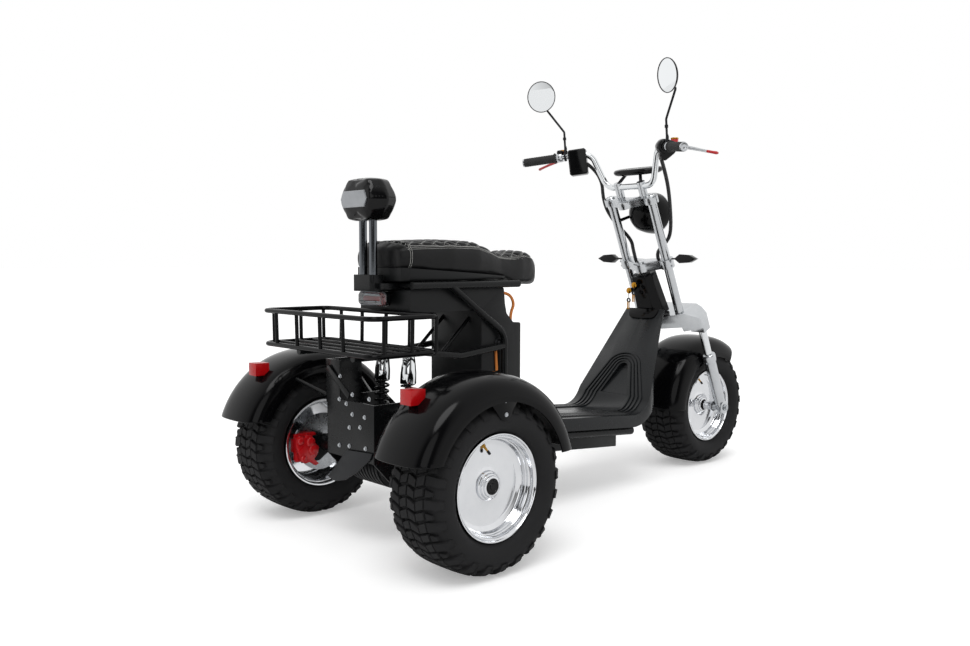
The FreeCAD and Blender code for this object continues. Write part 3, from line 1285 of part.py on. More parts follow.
def build_backrest():
    """Two chrome posts in a foot bracket, with the hexagonal pad and its rear panel."""
    foot_top = size.post_bottom + 4 * size.overrun
    rail_back = size.seat_rail_radius - size.cross_tube_radius - size.seat_gap
    bracket = block((-3 * size.post_half_spacing, 3 * size.post_half_spacing), (size.post_y, rail_back),
                    (size.seat_rail_height - size.seat_rail_radius, size.seat_rail_height + size.seat_rail_radius))
    clamp = rounded_box((-size.post_half_spacing - 2 * size.post_radius, size.post_half_spacing + 2 * size.post_radius),
                        (size.post_y - 2 * size.post_radius, size.saddle_rear - size.seat_gap),
                        (size.tail_light_top + size.seat_gap, foot_top), size.post_radius)
    posts = []
    holes = []
    for side in (-1, 1):
        base = Vector(side * size.post_half_spacing, size.post_y, size.post_bottom)
        posts.append(Part.makeCylinder(size.post_radius, size.post_length, base))
        holes.append(Part.makeCylinder(size.post_radius, size.post_length, base))
    bracket = fuse([bracket, clamp]).cut(holes)
    place(feature("backrest_bracket", bracket))
    place(feature("backrest_posts", Part.makeCompound(posts)))
    wide, deep = size.pad_half_width, size.pad_half_depth
    plan = [(-0.66, -1.0), (0.66, -1.0), (1.0, 0.0), (0.78, 1.0), (-0.78, 1.0), (-1.0, 0.0)]
    levels = [(0.0, 0.74), (0.22, 0.93), (0.5, 1.0), (0.78, 0.93), (1.0, 0.74)]
    sections = []
    for height, share in levels:
        points = [Vector(x * wide * share, size.post_y + y * deep * share, size.pad_bottom + height * size.pad_height)
                  for x, y in plan]
        sections.append(Part.makePolygon(points + [points[0]]))
    pad = Part.makeLoft(sections, True, True)
    rear = size.post_y - deep
    middle = size.pad_bottom + size.pad_height / 2
    half_w, half_h = size.panel_half_width, size.panel_height / 2
    shape = [(-1.0, 0.0), (-0.8, -1.0), (0.8, -1.0), (1.0, 0.0), (0.8, 1.0), (-0.8, 1.0)]
    panel = polygon([(x * half_w, rear - size.panel_thickness, middle + z * half_h) for x, z in shape])
    panel = panel.extrude(Vector(0, 2 * size.panel_thickness, 0))
    pad = pad.cut(panel).cut(posts)
    place(feature("backrest_pad", pad))
    place(feature("backrest_panel", panel))


build_backrest()

lamp_mid = size.tail_light_top - size.tail_light_height / 2
lamp = rounded_box((-size.tail_light_half, size.tail_light_half),
                   (size.tail_light_back - size.tail_light_depth, size.tail_light_back),
                   (size.tail_light_top - size.tail_light_height, size.tail_light_top),
                   size.tail_light_height * 0.35, Y_AXIS)
lamp_foot = block((-size.post_half_spacing, size.post_half_spacing),
                  (size.tail_light_back - size.overrun, size.seat_box_rear - size.seat_gap),
                  (lamp_mid - 2 * size.overrun, lamp_mid + 2 * size.overrun))
lamp = fuse([lamp, lamp_foot])
place(feature("tail_light", lamp))


# Places of the basket's uprights and floor rods, as shares of its half width or of its depth.
BASKET_REAR_SHARES = (-0.71, -0.31, 0.12, 0.52)
BASKET_SIDE_SHARES = (0.17, 0.58, 0.94)
BASKET_FLOOR_SHARES = (0.25, 0.5, 0.75)


def build_basket():
    """Round-rod luggage basket: two rails, uprights all round and floor rods."""
    corner = size.basket_corner
    half, rear, front = size.basket_half_width, size.basket_rear, size.basket_front
    taper = size.basket_taper
    rods = []
    for height, inset in ((size.basket_top, 0.0), (size.basket_bottom, taper)):
        x, y0, y1 = half - inset, rear + inset, front - inset
        cut_share = 0.3
        bevel = cut_share * corner
        corners = [(0, y1), (x - bevel, y1), (x, y1 - bevel), (x, y0 + corner), (x - bevel, y0 + bevel), (x - corner, y0),
                   (-x + corner, y0), (-x + bevel, y0 + bevel), (-x, y0 + corner), (-x, y1 - bevel), (-x + bevel, y1), (0, y1)]
        rods.append(flat_rod([(a, b, height) for a, b in corners], size.basket_tube_radius))

    def upright(x, y, outward):
        foot = (x - outward[0] * taper, y - outward[1] * taper, size.basket_bottom)
        return flat_rod([(x, y, size.basket_top), foot], size.basket_bar_radius)

    for share in BASKET_REAR_SHARES:
        rods.append(upright(share * half, rear, (0, -1)))
        rods.append(upright(share * half, front, (0, 1)))
    for share in BASKET_SIDE_SHARES:
        y = rear + share * (front - rear)
        rods.append(upright(half, y, (1, 0)))
        rods.append(upright(-half, y, (-1, 0)))
    for share in BASKET_FLOOR_SHARES:
        y = rear + share * (front - rear)
        rods.append(flat_rod([(-half + taper, y, size.basket_bottom), (half - taper, y, size.basket_bottom)],
                             size.basket_bar_radius))
    return fuse(rods)


place(feature("luggage_basket", build_basket()))

# Rear fenders, reflectors, carrier, drive, shocks and calipers.
GUARDS = {}
for side_name, sign in SIDES.items():
    guard = fender(size.rear_fender_radius, size.rear_fender_half, size.rear_fender_skirt, size.fender_sheet,
                   REAR_FENDER_FROM, REAR_FENDER_TO)
    far = 2 * size.rear_fender_radius
    rear_cut, front_cut = size.fender_rear_cut - size.tyre_radius, size.fender_front_cut - size.tyre_radius
    guard = guard.cut([block((-far, far), (-far, 0), (-far, rear_cut)), block((-far, far), (0, far), (-far, front_cut))])
    place(feature(f"fender_rear_{side_name}", guard), f"{sign} * Sizes.track_half", "0", "Sizes.tyre_radius")
    GUARDS[sign] = guard.translated(Vector(sign * size.track_half, 0, size.tyre_radius))


def build_reflectors():
    """Red reflectors on the rear shoulders of the two fenders."""
    blocks = []
    for side in (-1, 1):
        body = block((-size.reflector_width / 2, size.reflector_width / 2), (-size.reflector_depth, size.reflector_depth),
                     (-size.reflector_height / 2, size.reflector_height / 2))
        body.translate(Vector(side * size.reflector_across, size.reflector_along, size.reflector_up))
        blocks.append(min(body.cut(GUARDS[side]).Solids, key=lambda solid: solid.CenterOfMass.y))
    return Part.makeCompound(blocks)


place(feature("fender_reflectors", build_reflectors()))


# Where a fender stay meets the skirt, as shares of its distance from the axle.
STAY_SHARES = (0.47, 0.883)


def build_carrier():
    """Rear carrier: axle tube, long bearing plates on the frame's rear cross tube, bolted rear plate and fender stays."""
    half = size.carrier_half_width
    axle = size.tyre_radius
    plate = size.carrier_plate
    tube_half = size.track_half - size.rim_half_width - size.rim_lip_thickness
    top, waist, eye = size.carrier_top, size.carrier_waist, size.pivot_eye
    arm = size.frame_tube_radius
    pivot = pivot_point()
    tube = size.axle_tube_radius
    parts = [rod([(-tube_half, 0, axle), (tube_half, 0, axle)], tube)]
    for side in (-1, 1):
        x = side * half
        side_view = [(size.carrier_rear, axle + arm), (-2 * tube, axle - 2 * tube), (tube, axle - 2 * tube),
                     (waist, axle), (pivot.y, pivot.z - eye), (pivot.y + eye, pivot.z), (pivot.y, pivot.z + eye),
                     (waist, pivot.z + 2 * arm), (3 * tube, top), (size.carrier_rear, top)]
        parts.append(polygon([(x - plate / 2, y, z) for y, z in side_view]).extrude(Vector(plate, 0, 0)))
        stay_x = size.track_half - size.rear_fender_half + size.fender_sheet / 2
        reach = size.rear_fender_skirt + 3 * plate
        for slope in (-1, 1):
            out_y, out_z = slope * reach * STAY_SHARES[0], axle + reach * STAY_SHARES[1]
            parts.append(rod([(x, slope * 2 * tube, top - 2 * arm), (side * stay_x, out_y, out_z)], plate))
        mount = polygon([(side * (tube_half - 2 * plate), y, axle + z) for y, z in (
            (tube / 2, -tube), (tube / 2, tube), (-size.disc_radius, tube), (-size.disc_radius, -2 * tube), (-tube, -2 * tube))])
        parts.append(mount.extrude(Vector(side * plate, 0, 0)))
    parts.append(block((-half, half), (size.carrier_rear, size.carrier_rear + plate), (axle + arm, top)))
    parts.append(block((size.carrier_horn_out, size.carrier_horn_in), (size.carrier_rear, size.carrier_rear + plate),
                       (top - arm, size.carrier_horn_top)))
    parts.append(block((-half - plate / 2, plate / 2 - half), (size.carrier_rear, 0), (top - arm, size.carrier_horn_top)))
    room = [rod([(side * (tube_half - size.axle_socket), 0, axle), (side * 2 * tube_half, 0, axle)],
                size.axle_radius + size.axle_fit) for side in (-1, 1)]
    room.append(rod([(-2 * half, pivot.y, pivot.z), (2 * half, pivot.y, pivot.z)],
                    size.pivot_tube_radius + size.seat_gap))
    return fuse(parts).cut(room + list(GUARDS.values()))


place(feature("rear_carrier", build_carrier()))


def build_drive():
    """Motor and differential case on the axle's middle."""
    axle = size.tyre_radius
    case = Part.makeCylinder(size.drive_radius, 2 * size.drive_half_width, Vector(-size.drive_half_width, 0, axle), X_AXIS)
    tube = Part.makeCylinder(size.axle_tube_radius, 4 * size.drive_half_width, Vector(-2 * size.drive_half_width, 0, axle), X_AXIS)
    return case.cut(tube)


place(feature("drive_unit", build_drive()))

shocks = []
for side in (-1, 1):
    low = (side * size.shock_half_spacing, size.shock_low_y, size.tyre_radius + size.drive_radius / 2)
    high = (side * size.shock_half_spacing, size.shock_high_y, size.arm_height)
    shocks.append(rod([low, high], size.shock_radius))
shock_ends = [rod([(-size.drive_half_width, 0, size.tyre_radius), (size.drive_half_width, 0, size.tyre_radius)],
                  size.drive_radius + size.seat_gap),
              rod([(-size.frame_rail_half, size.shock_high_y, size.arm_height),
                   (size.frame_rail_half, size.shock_high_y, size.arm_height)], size.cross_tube_radius + size.seat_gap)]
shocks = [max(shock.cut(shock_ends).Solids, key=lambda solid: solid.Volume) for shock in shocks]
place(feature("rear_shocks", Part.makeCompound(shocks)))

inner_end = size.track_half - size.rim_half_width - size.rim_lip_thickness - size.axle_socket + size.seat_gap
outer_end = size.track_half + size.rim_disc_inset + size.hub_reach + size.overrun
place(feature("rear_stub_axles", Part.makeCompound([
    Part.makeCylinder(size.axle_radius, outer_end - inner_end, Vector(side * inner_end, 0, size.tyre_radius), X_AXIS * side)
    for side in (-1, 1)])))


def caliper(mount_reach):
    """A brake caliper astride the rim of a disc about the X axis, its mount towards -X, its body towards -Y."""
    half, gap = size.disc_thickness / 2, size.caliper_gap
    radius, height = size.disc_radius, size.caliper_height
    inner = block((-half - gap - size.caliper_cheek, -half - gap), (-radius - size.caliper_over, -radius / 3),
                  (-height * 0.6, height * 0.4))
    inner = inner.makeFillet(size.caliper_over / 2, [edge for edge in inner.Edges if abs(edge.tangentAt(0).x) > 0.99])
    outer = block((half + gap, half + gap + size.caliper_cheek / 2), (-radius - size.caliper_over, -radius * 0.6),
                  (-height * 0.25, height * 0.2))
    bridge = block((-half - gap - size.overrun, half + gap + size.overrun), (-radius - size.caliper_over, -radius - gap),
                   (-height * 0.25, height * 0.2))
    lug = block((-half - gap - size.caliper_cheek - mount_reach, -half - gap - size.caliper_cheek + size.overrun),
                (-radius * 0.8, -radius * 0.6), (-height * 0.2, height * 0.15))
    return fuse([inner, outer, bridge, lug])


rear_lug = size.track_half - size.disc_offset - size.disc_thickness / 2 - size.caliper_gap - size.caliper_cheek
rear_lug -= size.track_half - size.rim_half_width - size.rim_lip_thickness - size.carrier_plate
right_caliper = caliper(rear_lug)
right_caliper.translate(Vector(size.track_half - size.disc_offset, 0, 0))
place(feature("rear_calipers", Part.makeCompound(both_sides(right_caliper))), "0", "0", "Sizes.tyre_radius")

leg_inside = size.leg_half_spacing - size.leg_radius * 0.92
front_lug = leg_inside - size.disc_offset - size.disc_thickness / 2 - size.caliper_gap - size.caliper_cheek
left_caliper = caliper(front_lug)
left_caliper.rotate(ORIGIN, X_AXIS, -90 + size.fork_rake)
left_caliper.translate(Vector(-size.disc_offset, 0, 0))
place(feature("front_caliper", left_caliper), "0", "Sizes.wheelbase", "Sizes.tyre_radius")


doc.recompute()
for item in doc.Objects:
    if {"Invalid", "Error"} & set(item.State):
        raise RuntimeError(f"{item.Label} failed: {item.State}")
for label, piece in PIECES.items():
    if piece.Shape.isNull() or not piece.Shape.isValid():
        raise RuntimeError(f"{label} has no valid shape")
for label, piece in PIECES.items():
    piece.Shape.exportStep(f"parts/{label}.step")
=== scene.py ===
"""Looks of an electric trike with a raked chopper fork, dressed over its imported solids.

Lengths are written in millimetres as in the part's source, in whose frame the rear axle stands over y = 0,
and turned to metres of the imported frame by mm().
"""

import logging
import math
from dataclasses import dataclass, field
from enum import Enum
from typing import Callable, Iterable, Sequence

import bmesh
import bpy
import numpy as np
from mathutils import Matrix, Vector
from mathutils.bvhtree import BVHTree


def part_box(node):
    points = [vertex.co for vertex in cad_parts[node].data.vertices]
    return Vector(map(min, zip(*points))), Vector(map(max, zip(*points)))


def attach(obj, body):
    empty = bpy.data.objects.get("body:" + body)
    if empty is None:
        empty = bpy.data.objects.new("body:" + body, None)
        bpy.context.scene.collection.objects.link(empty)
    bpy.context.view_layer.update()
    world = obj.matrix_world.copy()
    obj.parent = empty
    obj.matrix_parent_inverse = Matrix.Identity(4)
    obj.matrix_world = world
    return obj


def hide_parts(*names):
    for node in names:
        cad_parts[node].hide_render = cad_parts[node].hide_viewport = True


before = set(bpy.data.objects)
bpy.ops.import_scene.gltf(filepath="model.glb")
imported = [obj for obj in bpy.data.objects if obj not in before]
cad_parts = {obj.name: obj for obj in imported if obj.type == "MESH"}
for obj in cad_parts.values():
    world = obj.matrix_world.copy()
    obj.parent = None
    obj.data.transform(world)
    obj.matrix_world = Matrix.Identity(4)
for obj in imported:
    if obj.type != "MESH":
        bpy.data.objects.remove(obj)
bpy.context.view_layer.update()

log = logging.getLogger("trike")
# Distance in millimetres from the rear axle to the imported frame's origin.
SETBACK = 741.436
# Points nearer than this many metres are merged.
WELD = 0.00002
Point = tuple[float, float, float]
Flat = tuple[float, float]
ACROSS, AHEAD, UP = Vector((1, 0, 0)), Vector((0, 1, 0)), Vector((0, 0, 1))


class Body(Enum):
    """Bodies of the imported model."""

    FRAME = "frame"
    STEERING = "steering"
    FRONT = "wheel_front"
    LEFT = "wheel_rear_left"
    RIGHT = "wheel_rear_right"


def mm(x: float, y: float, z: float) -> Vector:
    """A point of the source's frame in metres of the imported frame."""
    return Vector((x, y - SETBACK, z)) / 1000


def linear(code: str) -> tuple[float, float, float, float]:
    """An sRGB hex colour as linear RGBA."""
    parts = [int(code[i:i + 2], 16) / 255 for i in (1, 3, 5)]
    return (*[c / 12.92 if c <= 0.04045 else ((c + 0.055) / 1.055) ** 2.4 for c in parts], 1.0)


def add_node(tree: bpy.types.NodeTree, kind: str, inputs: dict | None = None,
             **settings: object) -> bpy.types.Node:
    """Adds a node to a tree.

    Args:
        tree: the shader or geometry tree.
        kind: the node's type name.
        inputs: socket name or number to a value, or to the output socket that feeds it.
        settings: the node's own properties.

    Returns:
        The new node.
    """
    node = tree.nodes.new(kind)
    for name, setting in settings.items():
        setattr(node, name, setting)
    for socket, given in (inputs or {}).items():
        if isinstance(given, bpy.types.NodeSocket):
            tree.links.new(given, node.inputs[socket])
        else:
            node.inputs[socket].default_value = given
    return node


def cleared(owner: bpy.types.Material | bpy.types.World) -> bpy.types.NodeTree:
    """The owner's node tree, switched on and emptied.

    Args:
        owner: a material or a world.

    Returns:
        The empty node tree.
    """
    owner.use_nodes = True
    owner.node_tree.nodes.clear()
    return owner.node_tree


def linked(name: str, data: bpy.types.ID) -> bpy.types.Object:
    """A new object in the scene, at the origin.

    Args:
        name: the object's name.
        data: its mesh, lamp, camera or curve.

    Returns:
        The object.
    """
    item = bpy.data.objects.new(name, data)
    bpy.context.scene.collection.objects.link(item)
    return item


# Finishes


@dataclass(frozen=True)
class Finish:
    """A surface finish: one Principled shader whose roughness, colour and bump vary over the surface.

    Sizes are in millimetres: grain is the width of the fine texture, blotch that of the slow colour change.
    """

    name: str
    colour: str
    other: str
    roughness: float
    metallic: float = 0.0
    spread: float = 0.06
    grain: float = 1.0
    depth: float = 0.0
    blotch: float = 40.0
    coat: float = 0.0
    sheen: float = 0.0
    cells: bool = False
    stretch: Point = (1.0, 1.0, 1.0)
    specular: float = 0.5
    glass: float = 0.0

    def material(self) -> bpy.types.Material:
        """The finish's material, made once."""
        known = bpy.data.materials.get(self.name)
        return known or self.make()

    def make(self) -> bpy.types.Material:
        """Builds the node tree.

        Returns:
            The new material.
        """
        material = bpy.data.materials.new(self.name)
        tree = cleared(material)
        place = add_node(tree, "ShaderNodeTexCoord")
        scaled = add_node(tree, "ShaderNodeMapping",
                          {"Vector": place.outputs["Object"], "Scale": self.stretch})
        slow = add_node(tree, "ShaderNodeTexNoise", {
            "Vector": place.outputs["Object"], "Scale": 1000 / self.blotch, "Detail": 4.0, "Roughness": 0.6})
        if self.cells:
            fine = add_node(tree, "ShaderNodeTexVoronoi", {
                "Vector": scaled.outputs[0], "Scale": 1000 / self.grain}, feature="SMOOTH_F1")
            height = fine.outputs["Distance"]
        else:
            fine = add_node(tree, "ShaderNodeTexNoise", {
                "Vector": scaled.outputs[0], "Scale": 1000 / self.grain, "Detail": 5.0})
            height = fine.outputs["Fac"]
        tone = add_node(tree, "ShaderNodeMix", {
            "Factor": slow.outputs["Fac"], "A": linear(self.colour), "B": linear(self.other)},
            data_type="RGBA")
        shine = add_node(tree, "ShaderNodeMapRange", {
            "Value": slow.outputs["Fac"], "From Min": 0.3, "From Max": 0.7,
            "To Min": max(self.roughness - self.spread, 0.01), "To Max": self.roughness + self.spread})
        shader = add_node(tree, "ShaderNodeBsdfPrincipled", {
            "Base Color": tone.outputs["Result"], "Roughness": shine.outputs["Result"],
            "Metallic": self.metallic, "Coat Weight": self.coat, "Coat Roughness": 0.04,
            "Sheen Weight": self.sheen, "Transmission Weight": self.glass})
        if not self.metallic:
            shader.inputs["Specular IOR Level"].default_value = self.specular
        if self.depth:
            bump = add_node(tree, "ShaderNodeBump", {
                "Height": height, "Distance": self.depth / 1000, "Strength": 1.0})
            tree.links.new(bump.outputs["Normal"], shader.inputs["Normal"])
        add_node(tree, "ShaderNodeOutputMaterial", {"Surface": shader.outputs["BSDF"]})
        return material


# Natural-rubber tread compound, moulded: dull, faintly dusty.
TYRE = Finish("tyre_compound", "#171718", "#222223", 0.66, grain=1.6, depth=0.1, blotch=60, specular=0.16)
# Aluminium wheel, turned and polished: bright, with soft bands.
POLISHED = Finish("polished_aluminium", "#e6e7e9", "#d8dadd", 0.1, 1.0, 0.04, 3.0, 0.002, 40)
# Chrome plate on steel tube, as on the backrest's posts, with a painted dark reflection of the studio
# darkening its colour: a darker mirror.
SHADED_CHROME = Finish("dark_chrome_plate", "#6f7276", "#5c6064", 0.09, 1.0, 0.03, 5.0, 0.001, 60)
# Decorative chrome over nickel on steel tube: a bright mirror.
CHROME = Finish("chrome_plate", "#eceeef", "#dfe2e4", 0.05, 1.0, 0.02, 5.0, 0.001, 60)
# Cast aluminium, machined and clear anodised: pale, with blurred reflections.
ALLOY = Finish("satin_cast_aluminium", "#cfd1d3", "#bfc2c5", 0.2, 1.0, 0.05, 1.6, 0.004, 35)
# Zinc-plated steel fasteners and shafts: mid grey, faintly mottled.
STEEL = Finish("zinc_plated_steel", "#c3c6c9", "#a9acb0", 0.28, 1.0, 0.07, 1.2, 0.015, 12)
# Sprayed gloss black lacquer on sheet steel: deep black with crisp highlights.
LACQUER = Finish("black_lacquer", "#040405", "#070708", 0.13, spread=0.04, grain=3.0, depth=0.004, blotch=90,
                 specular=0.14)
# Black powder coat on welded tube: black with a soft shine.
POWDER = Finish("black_powder_coat", "#08090a", "#0e0f10", 0.26, spread=0.06, grain=1.1, depth=0.01,
                specular=0.2)
# Injection-moulded polypropylene with a fine spark-eroded texture: satin black.
MOULDED = Finish("textured_black_plastic", "#0f1011", "#161718", 0.4, grain=0.8, depth=0.02, blotch=70,
                 specular=0.2)
# The same plastic where shoes and dust have greyed it: paler and patchy.
DECK = Finish("deck_plastic", "#0d0f11", "#16181a", 0.29, spread=0.08, grain=1.0, depth=0.02, blotch=110,
              specular=0.3)
# Polished black ABS of switch housings and the display: glossy black.
SHELL = Finish("gloss_black_abs", "#060607", "#0a0a0b", 0.12, spread=0.04, grain=2.0, depth=0.002,
               specular=0.22)
# Expanded vinyl upholstery with pebbled leather grain: black with broken highlights.
VINYL = Finish("black_vinyl", "#0b0b0c", "#121213", 0.36, spread=0.06, grain=1.7, depth=0.05, specular=0.2,
               cells=True)
# Polyester upholstery thread: matt pale grey.
THREAD = Finish("grey_thread", "#b9b9b5", "#a2a29e", 0.8, grain=0.3, depth=0.05, sheen=0.4)
# Cast aluminium under bright red enamel: clear red, softly shining.
RED_METAL = Finish("red_enamelled_aluminium", "#c4121a", "#a60d14", 0.3, 0.0, 0.05, 1.4, 0.01, 15, coat=0.3)
# Gold anodised aluminium caps: warm satin metal.
GOLD_METAL = Finish("gold_anodised_aluminium", "#c08a2e", "#a87522", 0.25, 1.0, 0.05, 0.8, 0.008, 15)
# Red acrylic reflector with moulded prisms: red that glitters.
RED_LENS = Finish("red_prism_acrylic", "#bb0a10", "#96060b", 0.2, grain=2.6, depth=0.12, specular=0.4,
                  cells=True)
# Smoked polycarbonate lens: thin grey glass.
SMOKE = Finish("smoked_polycarbonate", "#b4b6b9", "#a6a8ab", 0.04, spread=0.02, coat=0.3, glass=0.93)
# Clear polycarbonate lens: colourless.
CLEAR = Finish("clear_polycarbonate", "#f4f6f7", "#e9edef", 0.03, spread=0.02, coat=0.4, glass=0.95)
# First-surface mirror glass: a clean mirror.
MIRROR = Finish("mirror_glass_face", "#f3f5f6", "#eceff1", 0.02, 1.0, 0.01, blotch=200)
# Soft thermoplastic grip rubber: dull charcoal.
GRIP = Finish("grip_rubber", "#131314", "#1b1b1c", 0.62, grain=0.9, depth=0.08, specular=0.4)
# Brushed and lacquered aluminium plate, left bare: grey with fine streaks.
PLATE = Finish("brushed_plate", "#a6a8ab", "#94979a", 0.33, 0.9, 0.06, 0.8, 0.02, 20,
               stretch=(0.05, 1.0, 1.0))
# Orange silicone high-voltage sleeve: satin orange.
ORANGE = Finish("orange_sleeve", "#f08030", "#e07024", 0.42, grain=1.2, depth=0.03)
# Split ribbed polyamide conduit: dull black.
CONDUIT = Finish("ribbed_conduit", "#121213", "#1a1a1b", 0.5, grain=1.0, depth=0.03)
# Black oxide screws and brackets: dark satin metal.
OXIDE = Finish("black_oxide_steel", "#1a1b1d", "#242528", 0.4, 0.6, 0.06, 1.0, 0.02, 15)
# Brass valve stem: yellow metal.
BRASS = Finish("valve_brass", "#b58a3c", "#9b7430", 0.28, 1.0, 0.06, 1.0, 0.01, 8)


# Meshes


def rounded(points: Sequence[Vector], bend: float, step: float = 7.0) -> list[Vector]:
    """Straight runs with tangent arcs at their corners.

    Args:
        points: the corners, in metres.
        bend: the arcs' radius in metres; shorter runs take less.
        step: the most degrees between two points of an arc.

    Returns:
        The points along the line.
    """
    line = [points[0]]
    for before, corner, after in zip(points, points[1:], points[2:]):
        inward, outward = (before - corner).normalized(), (after - corner).normalized()
        half = (math.pi - inward.angle(outward)) / 2
        if half < 1e-4 or not bend:
            line.append(corner)
            continue
        reach = min(bend * math.tan(half), 0.45 * (before - corner).length, 0.45 * (after - corner).length)
        bulge = reach / math.tan(half)
        middle = corner + (inward + outward).normalized() * math.hypot(bulge, reach)
        first = corner + inward * reach - middle
        axis = first.cross(corner + outward * reach - middle).normalized()
        count = max(2, math.ceil(math.degrees(2 * half) / step))
        line += [middle + Matrix.Rotation(2 * half * k / count, 3, axis) @ first for k in range(count + 1)]
    line.append(points[-1])
    return line


def dense(points: Sequence[Vector], gap: float) -> list[Vector]:
    """The line through points with no two neighbours further apart than gap.

    Args:
        points: the line's points, in metres.
        gap: the widest gap, in metres.

    Returns:
        The denser line.
    """
    out = [points[0]]
    for start, end in zip(points, points[1:]):
        count = max(1, math.ceil((end - start).length / gap))
        out += [start.lerp(end, k / count) for k in range(1, count + 1)]
    return out


def spline(control: Sequence[Vector], count: int = 8) -> list[Vector]:
    """Points read from a smooth NURBS line through a route's control points.

    Args:
        control: the route's control points, in metres.
        count: points for each stretch between two of them.

    Returns:
        The points along the line.
    """
    data = bpy.data.curves.new("route", "CURVE")
    data.dimensions = "3D"
    data.resolution_u = count
    line = data.splines.new("NURBS")
    line.points.add(len(control) - 1)
    for point, given in zip(line.points, control):
        point.co = (*given, 1.0)
    line.order_u = 3
    line.use_endpoint_u = True
    route = linked("route", data)
    mesh = bpy.data.meshes.new_from_object(route)
    points = [vertex.co.copy() for vertex in mesh.vertices]
    bpy.data.objects.remove(route)
    bpy.data.meshes.remove(mesh)
    return points


class Solid:
    """A mesh under construction, in metres, gathered from simple forms."""

    def __init__(self) -> None:
        """Starts empty."""
        self.points: list[Vector] = []
        self.faces: list[tuple[int, ...]] = []

    def add(self, points: Iterable[Vector], faces: Iterable[Sequence[int]]) -> "Solid":
        """Adds points and the faces between them.

        Args:
            points: the points, in metres.
            faces: each face's places in that row of points.

        Returns:
            The solid itself.
        """
        base = len(self.points)
        self.points += [Vector(point) for point in points]
        self.faces += [tuple(base + k for k in face) for face in faces]
        return self

    def rings(self, sections: Sequence[Sequence[Vector]], loop: bool = False) -> "Solid":
        """Skins a row of rings that have the same count of points.

        Args:
            sections: the rings.
            loop: join the last ring to the first; otherwise both are closed with a face.

        Returns:
            The solid itself.
        """
        count = len(sections[0])
        points = [point for ring in sections for point in ring]
        faces = []
        for level in range(len(sections) - (0 if loop else 1)):
            low, high = level * count, (level + 1) % len(sections) * count
            for k in range(count):
                after = (k + 1) % count
                faces.append((low + k, low + after, high + after, high + k))
        if not loop:
            faces.append(tuple(reversed(range(count))))
            faces.append(tuple(range(len(points) - count, len(points))))
        return self.add(points, faces)

    def rod(self, points: Sequence[Vector], radius: float | Sequence[float], bend: float = 0.0,
            sides: int = 20) -> "Solid":
        """Sweeps a circle along a rounded line.

        Args:
            points: the line's corners in metres.
            radius: one radius in metres, or one for each point where bend is 0.
            bend: radius of the corners' arcs in metres.
            sides: points round the circle.

        Returns:
            The solid itself.
        """
        line = rounded(points, bend) if bend else list(points)
        radii = [radius] * len(line) if isinstance(radius, float) else list(radius)
        ahead = (line[1] - line[0]).normalized()
        side = ahead.orthogonal().normalized()
        sections = []
        for k, point in enumerate(line):
            before = (point - line[k - 1]).normalized() if k else ahead
            after = (line[k + 1] - point).normalized() if k + 1 < len(line) else before
            along = (before + after).normalized()
            side = (side - along * side.dot(along)).normalized()
            other = along.cross(side)
            stretch = 1 / max(along.dot(after), 0.5)
            turn = (before.cross(after)).normalized() if before.angle(after, 0) > 1e-3 else None
            ring = []
            for step in range(sides):
                angle = 2 * math.pi * step / sides
                offset = (side * math.cos(angle) + other * math.sin(angle)) * radii[k]
                if turn is not None and stretch > 1.001:
                    across = turn.cross(along)
                    offset += across * offset.dot(across) * (stretch - 1)
                ring.append(point + offset)
            sections.append(ring)
        return self.rings(sections)

    def turned(self, profile: Sequence[Flat], centre: Vector, axis: Vector, sides: int = 48,
               loop: bool = False) -> "Solid":
        """Turns a profile about an axis.

        Args:
            profile: (distance along the axis, radius) pairs in millimetres.
            centre: a point on the axis in metres, where the distance is zero.
            axis: the axis' direction.
            sides: points round the axis.
            loop: the profile closes on itself, as a ring's does.

        Returns:
            The solid itself.
        """
        axis = axis.normalized()
        side = axis.orthogonal().normalized()
        other = axis.cross(side)
        sections = []
        turns = [2 * math.pi * k / sides for k in range(sides)]
        spokes = [side * math.cos(turn) + other * math.sin(turn) for turn in turns]
        for along, radius in profile:
            middle = centre + axis * (along / 1000)
            sections.append([middle + spoke * (max(radius, 0.01) / 1000) for spoke in spokes])
        return self.rings(sections, loop)

    def slab(self, outline: Sequence[Vector], sweep: Vector) -> "Solid":
        """Sweeps a flat outline along a vector."""
        return self.rings([list(outline), [point + sweep for point in outline]])

    def node(self, name: str, keep: Callable[[Vector], bool] | None = None) -> "Solid":
        """Adds a copy of a CAD node's mesh, or of its faces whose middle is kept.

        Args:
            name: the CAD node.
            keep: says of a face's middle whether the face is taken.

        Returns:
            The solid itself.
        """
        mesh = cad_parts[name].data
        points = [vertex.co.copy() for vertex in mesh.vertices]
        faces = [tuple(polygon.vertices) for polygon in mesh.polygons]
        if keep is not None:
            faces = [face for face in faces if keep(sum((points[k] for k in face), Vector()) / len(face))]
        return self.add(points, faces)


def meshed(solid: Solid, name: str, weld: float = 0.0) -> bpy.types.Mesh:
    """Makes a mesh of a solid, with its faces turned outwards.

    Args:
        solid: the points and faces.
        name: the mesh's name.
        weld: points nearer than this many metres are merged.

    Returns:
        The mesh.
    """
    mesh = bpy.data.meshes.new(name)
    mesh.from_pydata([tuple(point) for point in solid.points], [], solid.faces)
    work = bmesh.new()
    work.from_mesh(mesh)
    if weld:
        bmesh.ops.remove_doubles(work, verts=work.verts, dist=weld)
        bmesh.ops.dissolve_degenerate(work, edges=work.edges, dist=weld / 2)
    bmesh.ops.recalc_face_normals(work, faces=work.faces)
    work.to_mesh(mesh)
    work.free()
    return mesh


